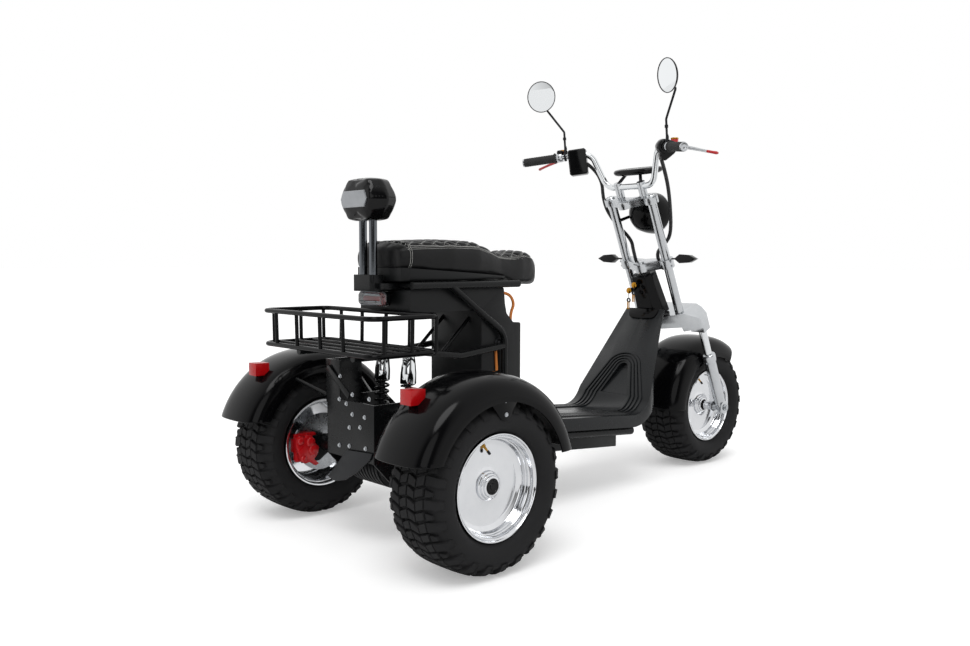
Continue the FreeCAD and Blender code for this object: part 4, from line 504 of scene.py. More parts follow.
def frozen(piece: bpy.types.Object) -> bpy.types.Object:
    """Turns a piece's modifiers into plain mesh.

    Args:
        piece: the object; its modifiers are removed.

    Returns:
        The same object.
    """
    shown = piece.evaluated_get(bpy.context.evaluated_depsgraph_get())
    mesh = bpy.data.meshes.new_from_object(shown)
    piece.modifiers.clear()
    old, piece.data = piece.data, mesh
    mesh.name = piece.name
    if old.users == 0:
        bpy.data.meshes.remove(old)
    return piece


def refined(piece: bpy.types.Object) -> bpy.types.Object:
    """Subdivides a piece smoothly once, as plain mesh.

    Args:
        piece: the object; its mesh is replaced.

    Returns:
        The same object.
    """
    finer = piece.modifiers.new("Finer", "SUBSURF")
    finer.levels = finer.render_levels = 1
    return frozen(piece)


def dressed(solid: Solid, name: str, finish: Finish, body: Body,
            stands_for: Sequence[str] = (), bevel: float = 0.0, sharp: float = 38.0) -> bpy.types.Object:
    """Makes a finished piece of a solid.

    Args:
        solid: the mesh.
        name: the piece's name.
        finish: its finish.
        body: the CAD body that it rides on.
        stands_for: CAD nodes that it replaces.
        bevel: width of its rounded edges in millimetres.
        sharp: edges that turn by more degrees than this stay sharp.

    Returns:
        The piece.
    """
    piece = linked(name, meshed(solid, name, WELD))
    if bevel:
        bpy.context.view_layer.update()
        cut = piece.modifiers.new("Edges", "BEVEL")
        cut.width, cut.segments = bevel / 1000, 2
        cut.limit_method, cut.angle_limit = "ANGLE", math.radians(sharp)
        cut.harden_normals = False
        frozen(piece)
    piece.data.shade_smooth()
    piece.data.set_sharp_from_angle(angle=math.radians(sharp))
    return finished(piece, finish, body, stands_for)


def finished(piece: bpy.types.Object, finish: Finish, body: Body,
             stands_for: Sequence[str] = ()) -> bpy.types.Object:
    """Gives a piece its finish, its body and the nodes that it stands for.

    Args:
        piece: the object.
        finish: its finish.
        body: the CAD body that it rides on.
        stands_for: CAD nodes that it replaces.

    Returns:
        The same object.
    """
    piece.data.materials.clear()
    piece.data.materials.append(finish.material())
    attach(piece, body.value)
    if stands_for:
        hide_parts(*stands_for)
    log.info("%s: %d faces on %s", piece.name, len(piece.data.polygons), body.value)
    return piece


def recast(node: str, name: str, finish: Finish, body: Body, bevel: float,
           sharp: float = 34.0) -> bpy.types.Object:
    """A finished copy of a CAD node that stands for it, with its edges rounded."""
    return dressed(Solid().node(node), name, finish, body, [node], bevel=bevel, sharp=sharp)


# Repeats


class Repeat:
    """Copies of one small shape on many points, laid out by Geometry Nodes."""

    def __init__(self, name: str, shape: Solid, finish: Finish) -> None:
        """Keeps the shape, modelled at the origin standing along +Z with its length along +X."""
        self.name, self.finish = name, finish
        self.one = bpy.data.objects.new(name + "_one", meshed(shape, name + "_one"))

    def tree(self) -> tuple[bpy.types.NodeTree, dict[str, str]]:
        """Builds the node tree that lays the copies.

        Returns:
            The tree, and its sockets' identifiers by name.
        """
        tree = bpy.data.node_groups.new(self.name, "GeometryNodeTree")
        face = tree.interface
        face.new_socket("Geometry", in_out="INPUT", socket_type="NodeSocketGeometry")
        shape = face.new_socket("Shape", in_out="INPUT", socket_type="NodeSocketObject")
        coat = face.new_socket("Finish", in_out="INPUT", socket_type="NodeSocketMaterial")
        face.new_socket("Geometry", in_out="OUTPUT", socket_type="NodeSocketGeometry")
        given = add_node(tree, "NodeGroupInput")
        up = add_node(tree, "GeometryNodeInputNamedAttribute", {"Name": "up"}, data_type="FLOAT_VECTOR")
        along = add_node(tree, "GeometryNodeInputNamedAttribute", {"Name": "along"}, data_type="FLOAT_VECTOR")
        size = add_node(tree, "GeometryNodeInputNamedAttribute", {"Name": "size"}, data_type="FLOAT")
        stood = add_node(tree, "FunctionNodeAlignRotationToVector", {"Vector": up.outputs[0]}, axis="Z")
        turned = add_node(tree, "FunctionNodeAlignRotationToVector", {
            "Rotation": stood.outputs[0], "Vector": along.outputs[0]}, axis="X", pivot_axis="Z")
        source = add_node(tree, "GeometryNodeObjectInfo", {"Object": given.outputs["Shape"]})
        laid = add_node(tree, "GeometryNodeInstanceOnPoints", {
            "Points": given.outputs["Geometry"], "Instance": source.outputs["Geometry"],
            "Rotation": turned.outputs[0], "Scale": size.outputs[0]})
        real = add_node(tree, "GeometryNodeRealizeInstances", {"Geometry": laid.outputs[0]})
        coated = add_node(tree, "GeometryNodeSetMaterial", {
            "Geometry": real.outputs[0], "Material": given.outputs["Finish"]})
        add_node(tree, "NodeGroupOutput", {"Geometry": coated.outputs[0]})
        return tree, {"Shape": shape.identifier, "Finish": coat.identifier}

    def lay(self, places: Sequence[tuple[Vector, Vector, Vector, float]], name: str, body: Body,
            slot: str | None = None) -> bpy.types.Object:
        """Lays copies on places.

        Args:
            places: (point, up, along, size) for each copy.
            name: the piece's name.
            body: the CAD body that it rides on.
            slot: not used.

        Returns:
            The piece, as plain mesh.
        """
        mesh = bpy.data.meshes.new(name)
        mesh.from_pydata([tuple(place[0]) for place in places], [], [])
        for title, column in (("up", 1), ("along", 2)):
            layer = mesh.attributes.new(title, "FLOAT_VECTOR", "POINT")
            layer.data.foreach_set("vector", [c for place in places for c in place[column]])
        layer = mesh.attributes.new("size", "FLOAT", "POINT")
        layer.data.foreach_set("value", [place[3] for place in places])
        piece = linked(name, mesh)
        tree, sockets = self.tree()
        layout = piece.modifiers.new("Layout", "NODES")
        layout.node_group = tree
        layout[sockets["Shape"]] = self.one
        layout[sockets["Finish"]] = self.finish.material()
        frozen(piece)
        piece.data.shade_smooth()
        piece.data.set_sharp_from_angle(angle=math.radians(35))
        return finished(piece, self.finish, body)


def bolt_shape(across: float = 10.0, height: float = 5.0) -> Solid:
    """A hexagon bolt head on a washer, standing on the origin.

    Args:
        across: its width in millimetres.
        height: its height in millimetres.

    Returns:
        The head.
    """
    washer = [(0, across * 0.72), (1.2, across * 0.72), (1.4, across * 0.68)]
    hexagon = [(1.2, across * 0.55), (height - 0.8, across * 0.55), (height, across * 0.45)]
    return Solid().turned(washer, Vector(), UP, 16).turned(hexagon, Vector(), UP, 6)


@dataclass
class Fasteners:
    """Bolt heads gathered from all the sub-assemblies and laid once for each body."""

    places: dict[Body, list] = field(default_factory=dict)

    def put(self, body: Body, point: Vector, up: Point, size: float = 1.0) -> None:
        """Notes one bolt head at a point, standing along up."""
        normal = Vector(up).normalized()
        self.places.setdefault(body, []).append((point, normal, normal.orthogonal(), size))

    def lay(self) -> None:
        """Lays the noted heads."""
        repeat = Repeat("bolt_heads", bolt_shape(), STEEL)
        for body, places in self.places.items():
            repeat.lay(places, f"bolts_{body.value}", body, "steel")


BOLTS = Fasteners()


# Wheels


@dataclass
class Wheel:
    """A tyre with moulded lugs on a polished deep-dish rim; sizes in millimetres.

    Each tread block is its height as a share of the full depth, and its stations as (distance across, first
    angle, last angle) in degrees about the axle.
    """

    side: str
    body: Body
    centre: Point
    outward: int
    pitches: int = 24
    crown: tuple[Flat, ...] = ((0, 230), (34, 229.6), (60, 228), (78, 223), (92, 214), (100, 203),
                               (103.6, 192))
    carcass: tuple[Flat, ...] = (
        (66, 137), (76, 139.5), (80.5, 143), (84, 146), (90, 150), (97, 158), (101, 169), (102, 182),
        (100.5, 194), (97, 199), (90, 205), (76, 212), (56, 218), (30, 220.4), (0, 221))
    blocks: tuple[tuple[float, tuple[Point, ...]], ...] = (
        (1.0, ((2.5, 0, 5.4), (16, 1.2, 6.4), (30, 2.6, 7.2))),
        (1.0, ((2.5, 7.6, 12.8), (15, 8.6, 13.6), (27, 10.2, 14.4))),
        (1.0, ((34, 1.4, 6.8), (47, -0.2, 5.6), (60, -1.4, 4.4))),
        (1.0, ((31, 8.8, 13.6), (46, 7.6, 12.2), (59, 6.4, 11.0))),
        (1.0, ((64, -1.6, 4.6), (79, -1.4, 4.8), (92, -1.2, 4.9), (100, -1.0, 4.9), (103.4, -0.8, 4.7))),
        (0.7, ((63, 7.4, 12.0), (72, 7.9, 11.6), (80, 8.6, 11.0))))

    def top(self, x: float) -> float:
        """Outside radius of the tread at a distance from the middle plane."""
        return float(np.interp(abs(x), [a for a, _ in self.crown], [b for _, b in self.crown]))

    def base(self, x: float) -> float:
        """Radius of the carcass under the tread."""
        pairs = sorted((a, b) for a, b in self.carcass if b > 190)
        return float(np.interp(abs(x), [a for a, _ in pairs], [b for _, b in pairs]))

    def lug(self, solid: Solid, stations: Sequence[Point], low: float, sign: int) -> None:
        """Adds a tread block.

        Args:
            solid: where it goes.
            stations: (distance across, first angle, last angle) triples, degrees about the axle.
            low: its height as a share of the full tread depth.
            sign: 1 for the outer half of the tread, -1 for the inner half.
        """
        def ring(level: float, grow: float) -> list[Vector]:
            """The block's outline at a level.

            Args:
                level: share of the block's height over the carcass.
                grow: degrees that it is wider on each side.

            Returns:
                The outline's points.
            """
            edge = [(x, a - grow) for x, a, _ in stations] + [(x, b + grow) for x, _, b in reversed(stations)]
            middle = sum(x for x, _ in edge) / len(edge)
            out = []
            for x, angle in edge:
                wide = x + (2.0 * grow if x > middle else -2.0 * grow)
                radius = self.base(x) + (self.top(x) - self.base(x)) * level * low
                wide = min(wide, 103.8)
                turn = math.radians(angle)
                out.append(Vector((sign * wide, -radius * math.sin(turn), radius * math.cos(turn))) / 1000)
            return out

        solid.rings([ring(-0.3, 0.5), ring(0.86, 0.15), ring(1.0, -0.15)])

    def pitch(self) -> Solid:
        """One pitch of the tread: chevron blocks and shoulder lugs, its halves half a pitch apart.

        Returns:
            The blocks, about the axle at the origin.
        """
        solid = Solid()
        for sign, start in ((1, 0.0), (-1, 180 / self.pitches)):
            for low, stations in self.blocks:
                self.lug(solid, [(x, start + first, start + last) for x, first, last in stations], low, sign)
        return solid

    def build(self) -> None:
        """Builds the tyre, the tread, the rim, the hub and the valve."""
        centre, out = mm(*self.centre), Vector((self.outward, 0, 0))
        shape = [(x, r) for x, r in self.carcass] + [(-x, r) for x, r in reversed(self.carcass[:-1])]
        tyre = Solid().turned(shape, centre, out, 144, loop=True)
        dressed(tyre, f"tyre_body_{self.side}", TYRE, self.body, [f"tyre_{self.side}"],
                sharp=60)
        tread = Repeat(f"tread_{self.side}", self.pitch(), TYRE)
        places = []
        for k in range(self.pitches):
            turn = 2 * math.pi * k / self.pitches
            places.append((centre, Vector((0, -math.sin(turn), math.cos(turn))), out, 1.0))
        tread.lay(places, f"tyre_tread_{self.side}", self.body, "tyre_rubber")
        self.rim(centre, out)

    def rim(self, centre: Vector, out: Vector) -> None:
        """Builds the dished rim, its hub with the black cap, and the valve.

        Args:
            centre: the wheel's middle, in metres.
            out: the direction away from the trike.
        """
        face = [
            (-80, 127), (-85, 135), (-85, 138.8), (-81, 139), (-78, 134), (-70, 131), (-40, 130.5),
            (60, 130.5), (76, 132), (80, 136), (82, 138.8), (84.6, 138.9), (85, 136.6), (83.2, 134.6),
            (81, 134), (80.2, 132.8), (81.2, 131.4), (80.4, 129.2), (76, 127.6), (68, 126.6), (66.5, 124.4),
            (60, 123.8), (58.8, 121.4), (50, 120.8), (46, 119.6), (43, 116), (42.4, 112), (40.2, 109.5),
            (39.4, 104), (39.2, 60), (39.4, 41), (40.6, 38.6), (47, 37.6), (48.6, 36.4), (49, 34), (50, 33),
            (55, 32.4), (56.6, 31), (57, 28.4), (58.4, 27.6), (61, 27.2), (62, 26), (62.2, 21.6), (60.6, 21),
            (50, 14), (20, 14), (-30, 14), (-44, 20), (-46, 36), (-44, 38), (26, 40), (28, 112), (24, 121),
            (-74, 123)]
        rim = Solid().turned(face, centre, out, 128, loop=True)
        dressed(rim, f"rim_dish_{self.side}", POLISHED, self.body, [f"rim_{self.side}"],
                sharp=50)
        cap = Solid().turned([(50, 13.5), (60.4, 13.8), (60.6, 21), (62.4, 21.2), (64, 20), (64.4, 16.5),
                              (62.6, 15), (62.4, 9), (64, 8), (64, 0)], centre, out, 40)
        dressed(cap, f"hub_cap_{self.side}", SHELL, self.body)
        lean = Vector((self.outward * 0.55, 0.55, -1)).normalized()
        foot = centre + Vector((self.outward * 0.043, -0.014, 0.104))
        stem = Solid().turned([(-4, 5.4), (3, 5.2), (4, 3.4), (12, 3.2), (13, 2.6), (20, 2.5)], foot, lean,
                              18)
        dressed(stem, f"valve_stem_{self.side}", BRASS, self.body)
        tip = Solid().turned([(16, 3.2), (17, 3.9), (26, 3.7), (27.5, 2.6)], foot, lean, 18)
        dressed(tip, f"valve_tip_{self.side}", MOULDED, self.body)


@dataclass
class Guard:
    """A pressed steel mudguard: a crowned strip swept round its wheel; sizes in millimetres."""

    name: str
    node: str
    body: Body
    centre: Point
    radius: float
    half: float
    skirt: float
    first: float
    last: float
    cuts: tuple[float, float] | None = None
    sheet: float = 4.0
    steps: int = 72
    outer: int = 1
    tab: float = 0.0
    bead: float = 2.6
    bead_depth: float = 0.68
    shares: tuple[Flat, ...] = (
        (0, 0), (0.2, 0.008), (0.38, 0.028), (0.54, 0.065), (0.68, 0.12), (0.79, 0.2), (0.88, 0.32),
        (0.945, 0.47), (0.98, 0.64), (0.997, 0.82), (1, 1))

    def section(self) -> list[Flat]:
        """The outside of the strip, from the inner skirt over the crown to the outer one."""
        half = [(x * self.half, self.radius - drop * (self.radius - self.skirt)) for x, drop in self.shares]
        return [(-x, radius) for x, radius in reversed(half)] + half[1:]

    def point(self, x: float, radius: float, angle: float) -> Vector:
        """A point of the strip.

        Args:
            x: distance across from the middle.
            radius: distance from the axle.
            angle: degrees from straight ahead over the top.

        Returns:
            The point, held behind the cuts.
        """
        turn = math.radians(angle)
        if self.cuts:
            rear, front = (math.asin(min(cut / radius, 1.0)) for cut in self.cuts)
            turn = min(max(turn, front), math.pi - rear)
        y, z = radius * math.cos(turn), radius * math.sin(turn)
        return mm(self.centre[0] + x, self.centre[1] + y, self.centre[2] + z)

    def build(self) -> None:
        """Builds the sheet and dresses it in lacquer."""
        outside = self.section()
        inside = []
        for j, (x, radius) in enumerate(outside):
            ahead, back = outside[min(j + 1, len(outside) - 1)], outside[max(j - 1, 0)]
            run, rise = ahead[0] - back[0], ahead[1] - back[1]
            length = math.hypot(run, rise)
            inside.append((x + rise / length * self.sheet, radius - run / length * self.sheet))
        loop = outside + list(reversed(inside))
        angles = [self.first + (self.last - self.first) * k / self.steps for k in range(self.steps + 1)]
        rows = [[self.point(x, radius, angle) for x, radius in loop] for angle in angles]
        sheet, count = Solid().rings(rows), len(outside)
        if self.outer * self.tab > 0:
            self.hang(sheet)
        dressed(sheet, self.name, LACQUER, self.body, [self.node], sharp=55, bevel=1.0)

        def within(row: Sequence[Vector], k: int) -> Vector:
            """A point inside the sheet, under the row's outside point k."""
            return row[k] + (row[2 * count - 1 - k] - row[k]) * self.bead_depth

        bead = Solid()
        for edge in (count - 1, 0):
            bead.rod([within(row, edge) for row in rows[2:-2]], self.bead / 1000, sides=10)
        for row in (rows[0], rows[-1]):
            bead.rod([within(row, k) for k in range(count)], self.bead / 1000, sides=10)
        dressed(bead, f"{self.name}_bead", LACQUER, self.body, sharp=60)

    def hang(self, sheet: Solid) -> None:
        """Adds the rounded tab that hangs over the tyre's shoulder, with its two bolts.

        Args:
            sheet: where it goes.
        """
        x = self.centre[0] + self.outer * (self.half - 9)
        outline = ((-46, 228), (-40, 214), (-30, 203), (-20, 190), (-10, 178), (2, 173), (14, 176), (24, 186),
                   (30, 200), (40, 212), (48, 226), (30, 240), (-30, 240))
        sheet.slab([mm(x, y, self.centre[2] + z) for y, z in outline], Vector((self.outer * 0.004, 0, 0)))
        for y, z in ((4, 226), (6, 190)):
            BOLTS.put(self.body, mm(x + self.outer * 4, y, self.centre[2] + z), (self.outer, 0, 0), 0.8)


# Steering


@dataclass
class Fork:
    """The raked fork and what it carries; sizes in millimetres."""

    head_y: float = 1187.0
    head_z: float = 798.0
    rake: float = 24.0
    tube_x: float = 91.5
    tube_f: float = 38.0
    clamp_gap: float = 278.0
    leg_x: float = 137.0
    leg_f: float = 88.0
    axle: Point = (0, 1530, 230)

    def at(self, x: float, ahead: float, up: float) -> Vector:
        """A point given across, ahead of and along the steering axis.

        Args:
            x: distance across.
            ahead: distance ahead of the axis.
            up: distance up along the axis.

        Returns:
            The point.
        """
        turn = math.radians(self.rake)
        y = self.head_y + ahead * math.cos(turn) - up * math.sin(turn)
        z = self.head_z + ahead * math.sin(turn) + up * math.cos(turn)
        return mm(x, y, z)

    def axis(self) -> Vector:
        """The direction up the steering axis."""
        return (self.at(0, 0, 1000) - self.at(0, 0, 0)).normalized()

    def build(self) -> None:
        """Builds the tubes, the clamps, the crown and the lower legs."""
        up = self.axis()
        tubes, stanchions, legs, caps = Solid(), Solid(), Solid(), Solid()
        for side in (-1, 1):
            x = side * self.tube_x
            foot = self.at(x, self.tube_f, 0)
            tubes.turned([(-262, 14), (-262, 16.5), (242, 16.5), (243, 15.5)], foot, up, 32)
            caps.turned([(241.5, 15.6), (246, 15.4), (248, 13.5), (248.4, 8), (246.6, 7.6), (246.6, 0)], foot,
                        up, 32)
            lower = self.at(side * self.leg_x, self.leg_f, 0)
            stanchions.turned([(-455, 13), (-455, 15), (-258, 15), (-257, 14)], lower, up, 32)
            legs.turned([(-680, 10), (-676, 17), (-640, 20.5), (-600, 21.6), (-480, 22), (-462, 22),
                         (-458, 22.8), (-455, 25.2), (-450, 26), (-432, 26), (-428, 25), (-425.5, 21.5),
                         (-425.5, 15.2)],
                        lower, up, 40)
            legs.turned([(-20, 25), (-21.5, 22), (-21, 14), (21, 14), (21.5, 22), (20, 25)],
                        mm(side * self.leg_x, *self.axle[1:]), ACROSS, 40)
        dressed(tubes, "fork_tube_pair", ALLOY, Body.STEERING, ["fork_tubes"])
        dressed(caps, "fork_tube_caps", CHROME, Body.STEERING)
        dressed(stanchions, "stanchion_pair", CHROME, Body.STEERING, ["fork_stanchions"])
        dressed(legs, "lower_leg_pair", ALLOY, Body.STEERING, ["fork_legs"], sharp=50)
        for node, name in (("upper_clamp", "upper_clamp_casting"), ("lower_clamp", "lower_clamp_casting"),
                           ("fork_crown", "crown_casting")):
            recast(node, name, ALLOY, Body.STEERING, 1.5)
        recast("front_axle", "axle_front", STEEL, Body.STEERING, 1.5)
        spacers, seals = Solid(), Solid()
        for side, start in ((-1, 84), (1, 66)):
            middle, out = mm(*self.axle), ACROSS * side
            spacers.turned([(start, 11), (start, 16), (start + 2, 17.5), (112, 17.5), (114, 16.5), (114, 11)],
                           middle, out, 32, loop=True)
            seals.turned([(110, 17.5), (110, 21), (114.5, 21), (114.5, 17.5)], middle, out, 32, loop=True)
            BOLTS.put(Body.STEERING, mm(side * 160.5, *self.axle[1:]), out, 1.7)
            for rise in (-30, -12):
                BOLTS.put(Body.STEERING, self.at(side * (self.tube_x + 25), self.tube_f - 8, rise), out, 0.6)
        dressed(spacers, "axle_spacers", POLISHED, Body.STEERING, sharp=50)
        dressed(seals, "axle_seals", GRIP, Body.STEERING, sharp=50)


@dataclass
class Controls:
    """Handlebar, grips, levers, housings, mirrors, display, turn signals and cables; sizes in millimetres."""

    bar_y: float = 1121.4
    bar_z: float = 1073.1
    bar: tuple[Point, ...] = ((363, -184, 99), (154, -42, 130), (105, 0, 0))
    bar_radius: float = 11.0
    bend: float = 48.0
    grip_length: float = 122.0
    mirror: Point = (286, -176, 339)

    def bar_point(self, side: int, x: float, y: float, z: float) -> Vector:
        """A point given from the bar's middle."""
        return mm(side * x, self.bar_y + y, self.bar_z + z)

    def along(self, side: int, distance: float) -> tuple[Vector, Vector]:
        """A point on the grip's run.

        Args:
            side: 1 for the right grip, -1 for the left.
            distance: how far in from the bar's end.

        Returns:
            The point, and the direction outwards along the bar.
        """
        end, knee = (self.bar_point(side, *self.bar[k]) for k in (0, 1))
        outward = (end - knee).normalized()
        return end - outward * (distance / 1000), outward

    def build(self) -> None:
        """Builds everything on the bar."""
        right = [self.bar_point(1, *point) for point in self.bar]
        left = [self.bar_point(-1, *point) for point in reversed(self.bar)]
        bar = Solid().rod(rounded(right + left, self.bend / 1000, 4), self.bar_radius / 1000, sides=28)
        bar.node("handlebar", lambda p: 0.03 < abs(p.x) < 0.075 and p.z < (self.bar_z + 28) / 1000)
        dressed(bar, "chrome_bar", CHROME, Body.STEERING, ["handlebar"], sharp=50)
        self.grips()
        recast("switch_box", "switch_housing", SHELL, Body.STEERING, 2.0)
        recast("turn_signals", "signal_pair", SHELL, Body.STEERING, 1.0)
        self.levers()
        self.throttle()
        self.mirrors()
        self.display()
        self.cables()

    def levers(self) -> None:
        """Brake perches and blades; the left blade and the right one's tip are red."""
        alloy, red, gold = Solid(), Solid(), Solid()
        for side in (-1, 1):
            foot, outward = self.along(side, self.grip_length + 26)
            ahead = UP.cross(outward).normalized() * side
            middle = foot + outward * 0.012
            alloy.turned([(1, 11.3), (1, 15.5), (2.5, 17), (21.5, 17), (23, 15.5), (23, 11.3)], foot, outward,
                         32, loop=True)
            pivot = middle + ahead * 0.053
            alloy.rod([middle + ahead * 0.014, middle + ahead * 0.034, pivot], [0.009, 0.0075, 0.0085],
                      sides=16)
            alloy.turned([(-8, 9), (-7, 10), (7, 10), (8, 9)], pivot, UP, 24)
            reach = (Matrix.Rotation(math.radians(side * 36), 3, "Z") @ outward - UP * 0.12).normalized()
            line = [pivot + reach * (t / 1000) + ahead * (rise / 1000) for t, rise in (
                (0, 0), (16, 2), (40, 3), (66, 1), (92, 0), (112, 1.5), (124, 4.5), (129, 6))]
            radii = [0.0062, 0.0062, 0.0056, 0.005, 0.0048, 0.0048, 0.0055, 0.003]
            if side < 0:
                red.rod(line, radii, sides=14)
            else:
                alloy.rod(line[:5], radii[:5], sides=14)
                red.rod(line[4:], radii[4:], sides=14)
            tank = middle + ahead * 0.022 - outward * 0.01
            red.turned([(10, 10.5), (10, 12), (24, 12.5), (25, 11.5)], tank, UP, 28)
            gold.turned([(25, 11), (25, 13.2), (28.5, 13.2), (30, 11.6), (30.4, 0)], tank, UP, 28)
        dressed(alloy, "lever_perches", ALLOY, Body.STEERING, ["brake_levers"], sharp=50)
        dressed(red, "lever_reds", RED_METAL, Body.STEERING, sharp=50)
        dressed(gold, "reservoir_caps", GOLD_METAL, Body.STEERING, sharp=50)

    def throttle(self) -> None:
        """Rounded housing of the throttle and its switches."""
        foot, outward = self.along(1, self.grip_length + 48)
        inward = -outward
        case = Solid().turned([(0, 12), (0, 20), (2, 24), (6, 26), (30, 26.5), (34, 25), (36, 21), (52, 20),
                               (60, 18.5), (64, 15), (64, 12)], foot, inward, 40)
        ahead = UP.cross(outward).normalized()
        base = foot + inward * 0.004
        lobe = ((14, 24), (40, 14), (43, -8), (34, -22), (20, -34), (2, -48), (-12, -46), (-16, -30),
                (-14, 0), (-6, 20))
        case.slab([base + ahead * (a / 1000) + UP * (c / 1000) for a, c in lobe], inward * 0.034)
        dressed(case, "throttle_case", SHELL, Body.STEERING, ["throttle_housing"],
                bevel=2.0, sharp=40)
        horn, _ = self.along(-1, self.grip_length + 14)
        button = Solid().turned([(10, 9), (10, 12), (22, 13), (26, 11.5), (28, 6), (28.4, 0)], horn,
                                Vector((0, 0.1, 1)), 28)
        dressed(button, "switch_knob", SHELL, Body.STEERING, sharp=50)

    def grips(self) -> None:
        """Ribbed rubber grips with bright end plugs."""
        rubber, plugs = Solid(), Solid()
        length = self.grip_length
        for side in (-1, 1):
            foot, outward = self.along(side, length)
            profile = [(0, 11.5), (0, 19), (2, 20), (5, 20), (7, 17)]
            for k in range(11):
                start = 12 + 9.4 * k
                profile += [(start, 15.4), (start + 1.2, 16.0), (start + 6.8, 16.0), (start + 8.0, 15.4)]
            profile += [(length - 2, 16), (length, 14.5), (length, 11.5)]
            rubber.turned(profile, foot, outward, 32)
            plugs.turned([(length - 1, 13), (length, 15), (length + 4, 15), (length + 6, 13.4),
                          (length + 6.4, 8), (length + 5, 6), (length + 5, 0)], foot, outward, 32)
        dressed(rubber, "rubber_grips", GRIP, Body.STEERING, ["grips"])
        dressed(plugs, "grip_plugs", ALLOY, Body.STEERING)

    def mirrors(self) -> None:
        """Round mirrors on slim stalks."""
        shells, stalks, glass = Solid(), Solid(), Solid()
        for side in (-1, 1):
            facing = Matrix.Rotation(math.radians(8), 3, "X") @ -AHEAD
            facing = Matrix.Rotation(math.radians(side * -20), 3, "Z") @ facing
            head = self.bar_point(side, *self.mirror)
            shells.turned([(-12, 0), (-12, 30), (-11, 46), (-8.5, 53), (-4, 56.4), (-1, 57), (0, 56.4),
                           (0.2, 54.6), (-1.4, 54), (-3, 54), (-3, 0)], head, facing, 64)
            glass.turned([(-3.2, 54), (-1.6, 53.8), (-1.2, 50), (-1.2, 0)], head, facing, 64)
            foot, outward = self.along(side, self.grip_length + 36)
            below = facing.cross(ACROSS).normalized()
            below = below if below.z < 0 else -below
            bend = foot + Vector((0, -0.008, 0.092))
            behind = head + below * (0.75 * 0.057) - facing * 0.032
            back = head + below * (0.4 * 0.057) - facing * 0.008
            stalks.rod([foot + UP * 0.011, bend, behind, back], 0.004, 0.012, 16)
            stalks.turned([(10, 6), (10, 7.5), (22, 7.5), (24, 5.6), (34, 5.6), (36, 4.4), (40, 4)], foot, UP,
                          20)
            stalks.turned([(-4, 15.8), (-4, 16), (4, 16), (4, 15.8)], foot, outward, 28)
            collar = (bend - foot).normalized()
            stalks.turned([(62, 4), (63, 6.2), (72, 6.2), (74, 4)], foot, collar, 20)
        dressed(shells, "mirror_shells", SHELL, Body.STEERING, ["mirrors"], sharp=60)
        dressed(stalks, "mirror_stalks", OXIDE, Body.STEERING)
        dressed(glass, "mirror_faces", MIRROR, Body.STEERING, ["mirror_glass"])

    def display(self) -> None:
        """Oval display pod over the risers."""
        low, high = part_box("display")
        centre = (low + high) / 2
        tilt = Matrix.Rotation(math.radians(9), 4, "X")
        middle = mm(0, self.bar_y + 46, self.bar_z + 59)

        def oval(rise: float, share: float) -> list[Vector]:
            """A ring of the pod.

            Args:
                rise: its height over the pod's middle.
                share: its size as a share of the widest ring's.

            Returns:
                The ring's points.
            """
            ring = []
            for k in range(64):
                angle = 2 * math.pi * k / 64
                c, s = math.cos(angle), math.sin(angle)
                x = math.copysign(abs(c) ** 0.85, c) * 97 * share
                y = math.copysign(abs(s) ** 0.85, s) * 67 * share
                ring.append(middle + (tilt @ Vector((x, y, rise))) / 1000)
            return ring

        pod = Solid().rings([oval(rise, share) for rise, share in (
            (-12, 0.62), (-11, 0.84), (-7, 0.95), (0, 1.0), (6, 0.985), (10, 0.94), (12, 0.86), (12.2, 0.8),
            (11.2, 0.79), (11.2, 0.3))])
        stems = Solid().node("display", lambda p: p.z < centre.z - 0.012)
        dressed(pod, "display_pod", SHELL, Body.STEERING, ["display"], sharp=60)
        dressed(stems, "display_stems", OXIDE, Body.STEERING)

    def cables(self) -> None:
        """Ribbed conduits from the housings to the lower clamp, routed in shares of the fork's own sizes."""
        fork = Fork()
        left = ((-1.81, 1.16, 1.374), (-1.75, 2.66, 1.145), (-1.80, 1.92, 0.757), (-1.40, 1.66, 0.492),
                (-0.765, 1.78, 0.233), (-0.49, 0.85, 0.11), (-0.49, 0.85, -0.014))
        right = ((2.05, 0.66, 1.354), (1.88, 1.33, 1.108), (1.64, 1.75, 0.768), (1.333, 1.72, 0.3075),
                 (0.87, 1.78, 0.15), (0.60, 1.05, 0.08), (0.60, 1.05, -0.014))
        conduit = Solid()
        for shares in (left, right):
            control = [fork.at(x * fork.tube_x, f * fork.tube_f, s * fork.clamp_gap) for x, f, s in shares]
            line = dense(spline(control, 12), 0.0022)
            radii = [0.0069 if k % 2 else 0.0061 for k in range(len(line))]
            conduit.rod(line, radii, sides=14)
        dressed(conduit, "cable_conduits", CONDUIT, Body.STEERING, ["control_cables"],
                sharp=70)


